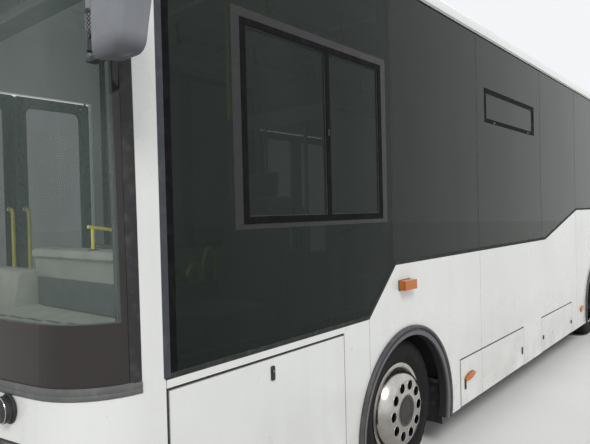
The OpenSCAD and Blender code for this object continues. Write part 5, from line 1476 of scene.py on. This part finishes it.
CAMERA_AT = (-5.297, -2.730, 1.550)
YAW, PITCH, ROLL = (math.radians(a) for a in (39.908, -0.9215, 1.384))
FOCAL_PX, FRAME_W = 560.0, 590


def make_camera():
    ahead = Vector((math.cos(YAW) * math.cos(PITCH), math.sin(YAW) * math.cos(PITCH), math.sin(PITCH)))
    level = ahead.cross(UP).normalized()
    under = ahead.cross(level)
    right = level * math.cos(ROLL) + under * math.sin(ROLL)
    down = under * math.cos(ROLL) - level * math.sin(ROLL)
    data = bpy.data.cameras.new("camera")
    data.sensor_width = 36.0
    data.lens = FOCAL_PX / FRAME_W * data.sensor_width
    data.clip_start, data.clip_end = 0.05, 200.0
    camera = stand(bpy.data.objects.new("camera", data))
    axes = Matrix((right, -down, -ahead)).transposed()
    camera.matrix_world = Matrix.Translation(CAMERA_AT) @ axes.to_4x4()
    bpy.context.scene.camera = camera


def make_light():
    """Pale world that is brighter where it's seen than where it lights, and two soft suns."""
    world = bpy.data.worlds.new("studio")
    bpy.context.scene.world = world
    world.use_nodes = True
    tree = world.node_tree
    back = tree.nodes["Background"]
    path = tree.nodes.new("ShaderNodeLightPath")
    seen = path.outputs["Is Camera Ray"]
    for ray in ("Is Glossy Ray", "Is Transmission Ray"):
        either = tree.nodes.new("ShaderNodeMath")
        either.operation = "MAXIMUM"
        tree.links.new(seen, either.inputs[0])
        tree.links.new(path.outputs[ray], either.inputs[1])
        seen = either.outputs[0]
    level = tree.nodes.new("ShaderNodeMapRange")
    level.inputs["To Min"].default_value = 0.62
    level.inputs["To Max"].default_value = 0.93
    tree.links.new(seen, level.inputs["Value"])
    back.inputs["Color"].default_value = (0.97, 0.985, 1.0, 1.0)
    tree.links.new(level.outputs["Result"], back.inputs["Strength"])
    for name, energy, angle, turn in (("key", 1.5, 0.35, (0.80, 0.0, -0.72)),
                                      ("fill", 0.35, 0.9, (0.95, 0.0, 2.3))):
        lamp = bpy.data.lights.new(name, "SUN")
        lamp.energy, lamp.angle = energy, angle
        lamp.color = (1.0, 0.985, 0.96)
        stand(bpy.data.objects.new(name, lamp)).rotation_euler = turn


def make_floor():
    g = Nodes("pale_floor")
    base = g.mix(g.noise(0.8, 8, 0.3, 0.8), (0.80, 0.80, 0.79), (0.74, 0.74, 0.73))
    mesh = bpy.data.meshes.new("floor_sheet")
    far = 60.0
    mesh.from_pydata([(-far, -far, 0), (far, -far, 0), (far, far, 0), (-far, far, 0)], [], [(0, 1, 2, 3)])
    mesh.materials.append(g.finish(base, 0.85, g.grain(60, 6, 0.1, 0.002)))
    stand(bpy.data.objects.new("floor_sheet", mesh))


for make in (make_tyres, make_wheel_trim, make_mud_flaps, make_screen_seals, make_side_seams,
             make_lid_details, make_markers, make_lid_bins, make_mirrors, make_wiper_details, make_dashboard,
             make_dashboard_details, make_cab_rail, make_driver_seat, make_seat_pads, make_ceiling,
             make_head_lamps, make_front_details, make_sign_box, make_door_details, make_entries,
             make_rear_lamps, make_rear_details, make_engine_lid_details, make_window_rubbers,
             make_roof_details, make_camera, make_light, make_floor):
    make()
bpy.context.scene.view_settings.view_transform = "Standard"
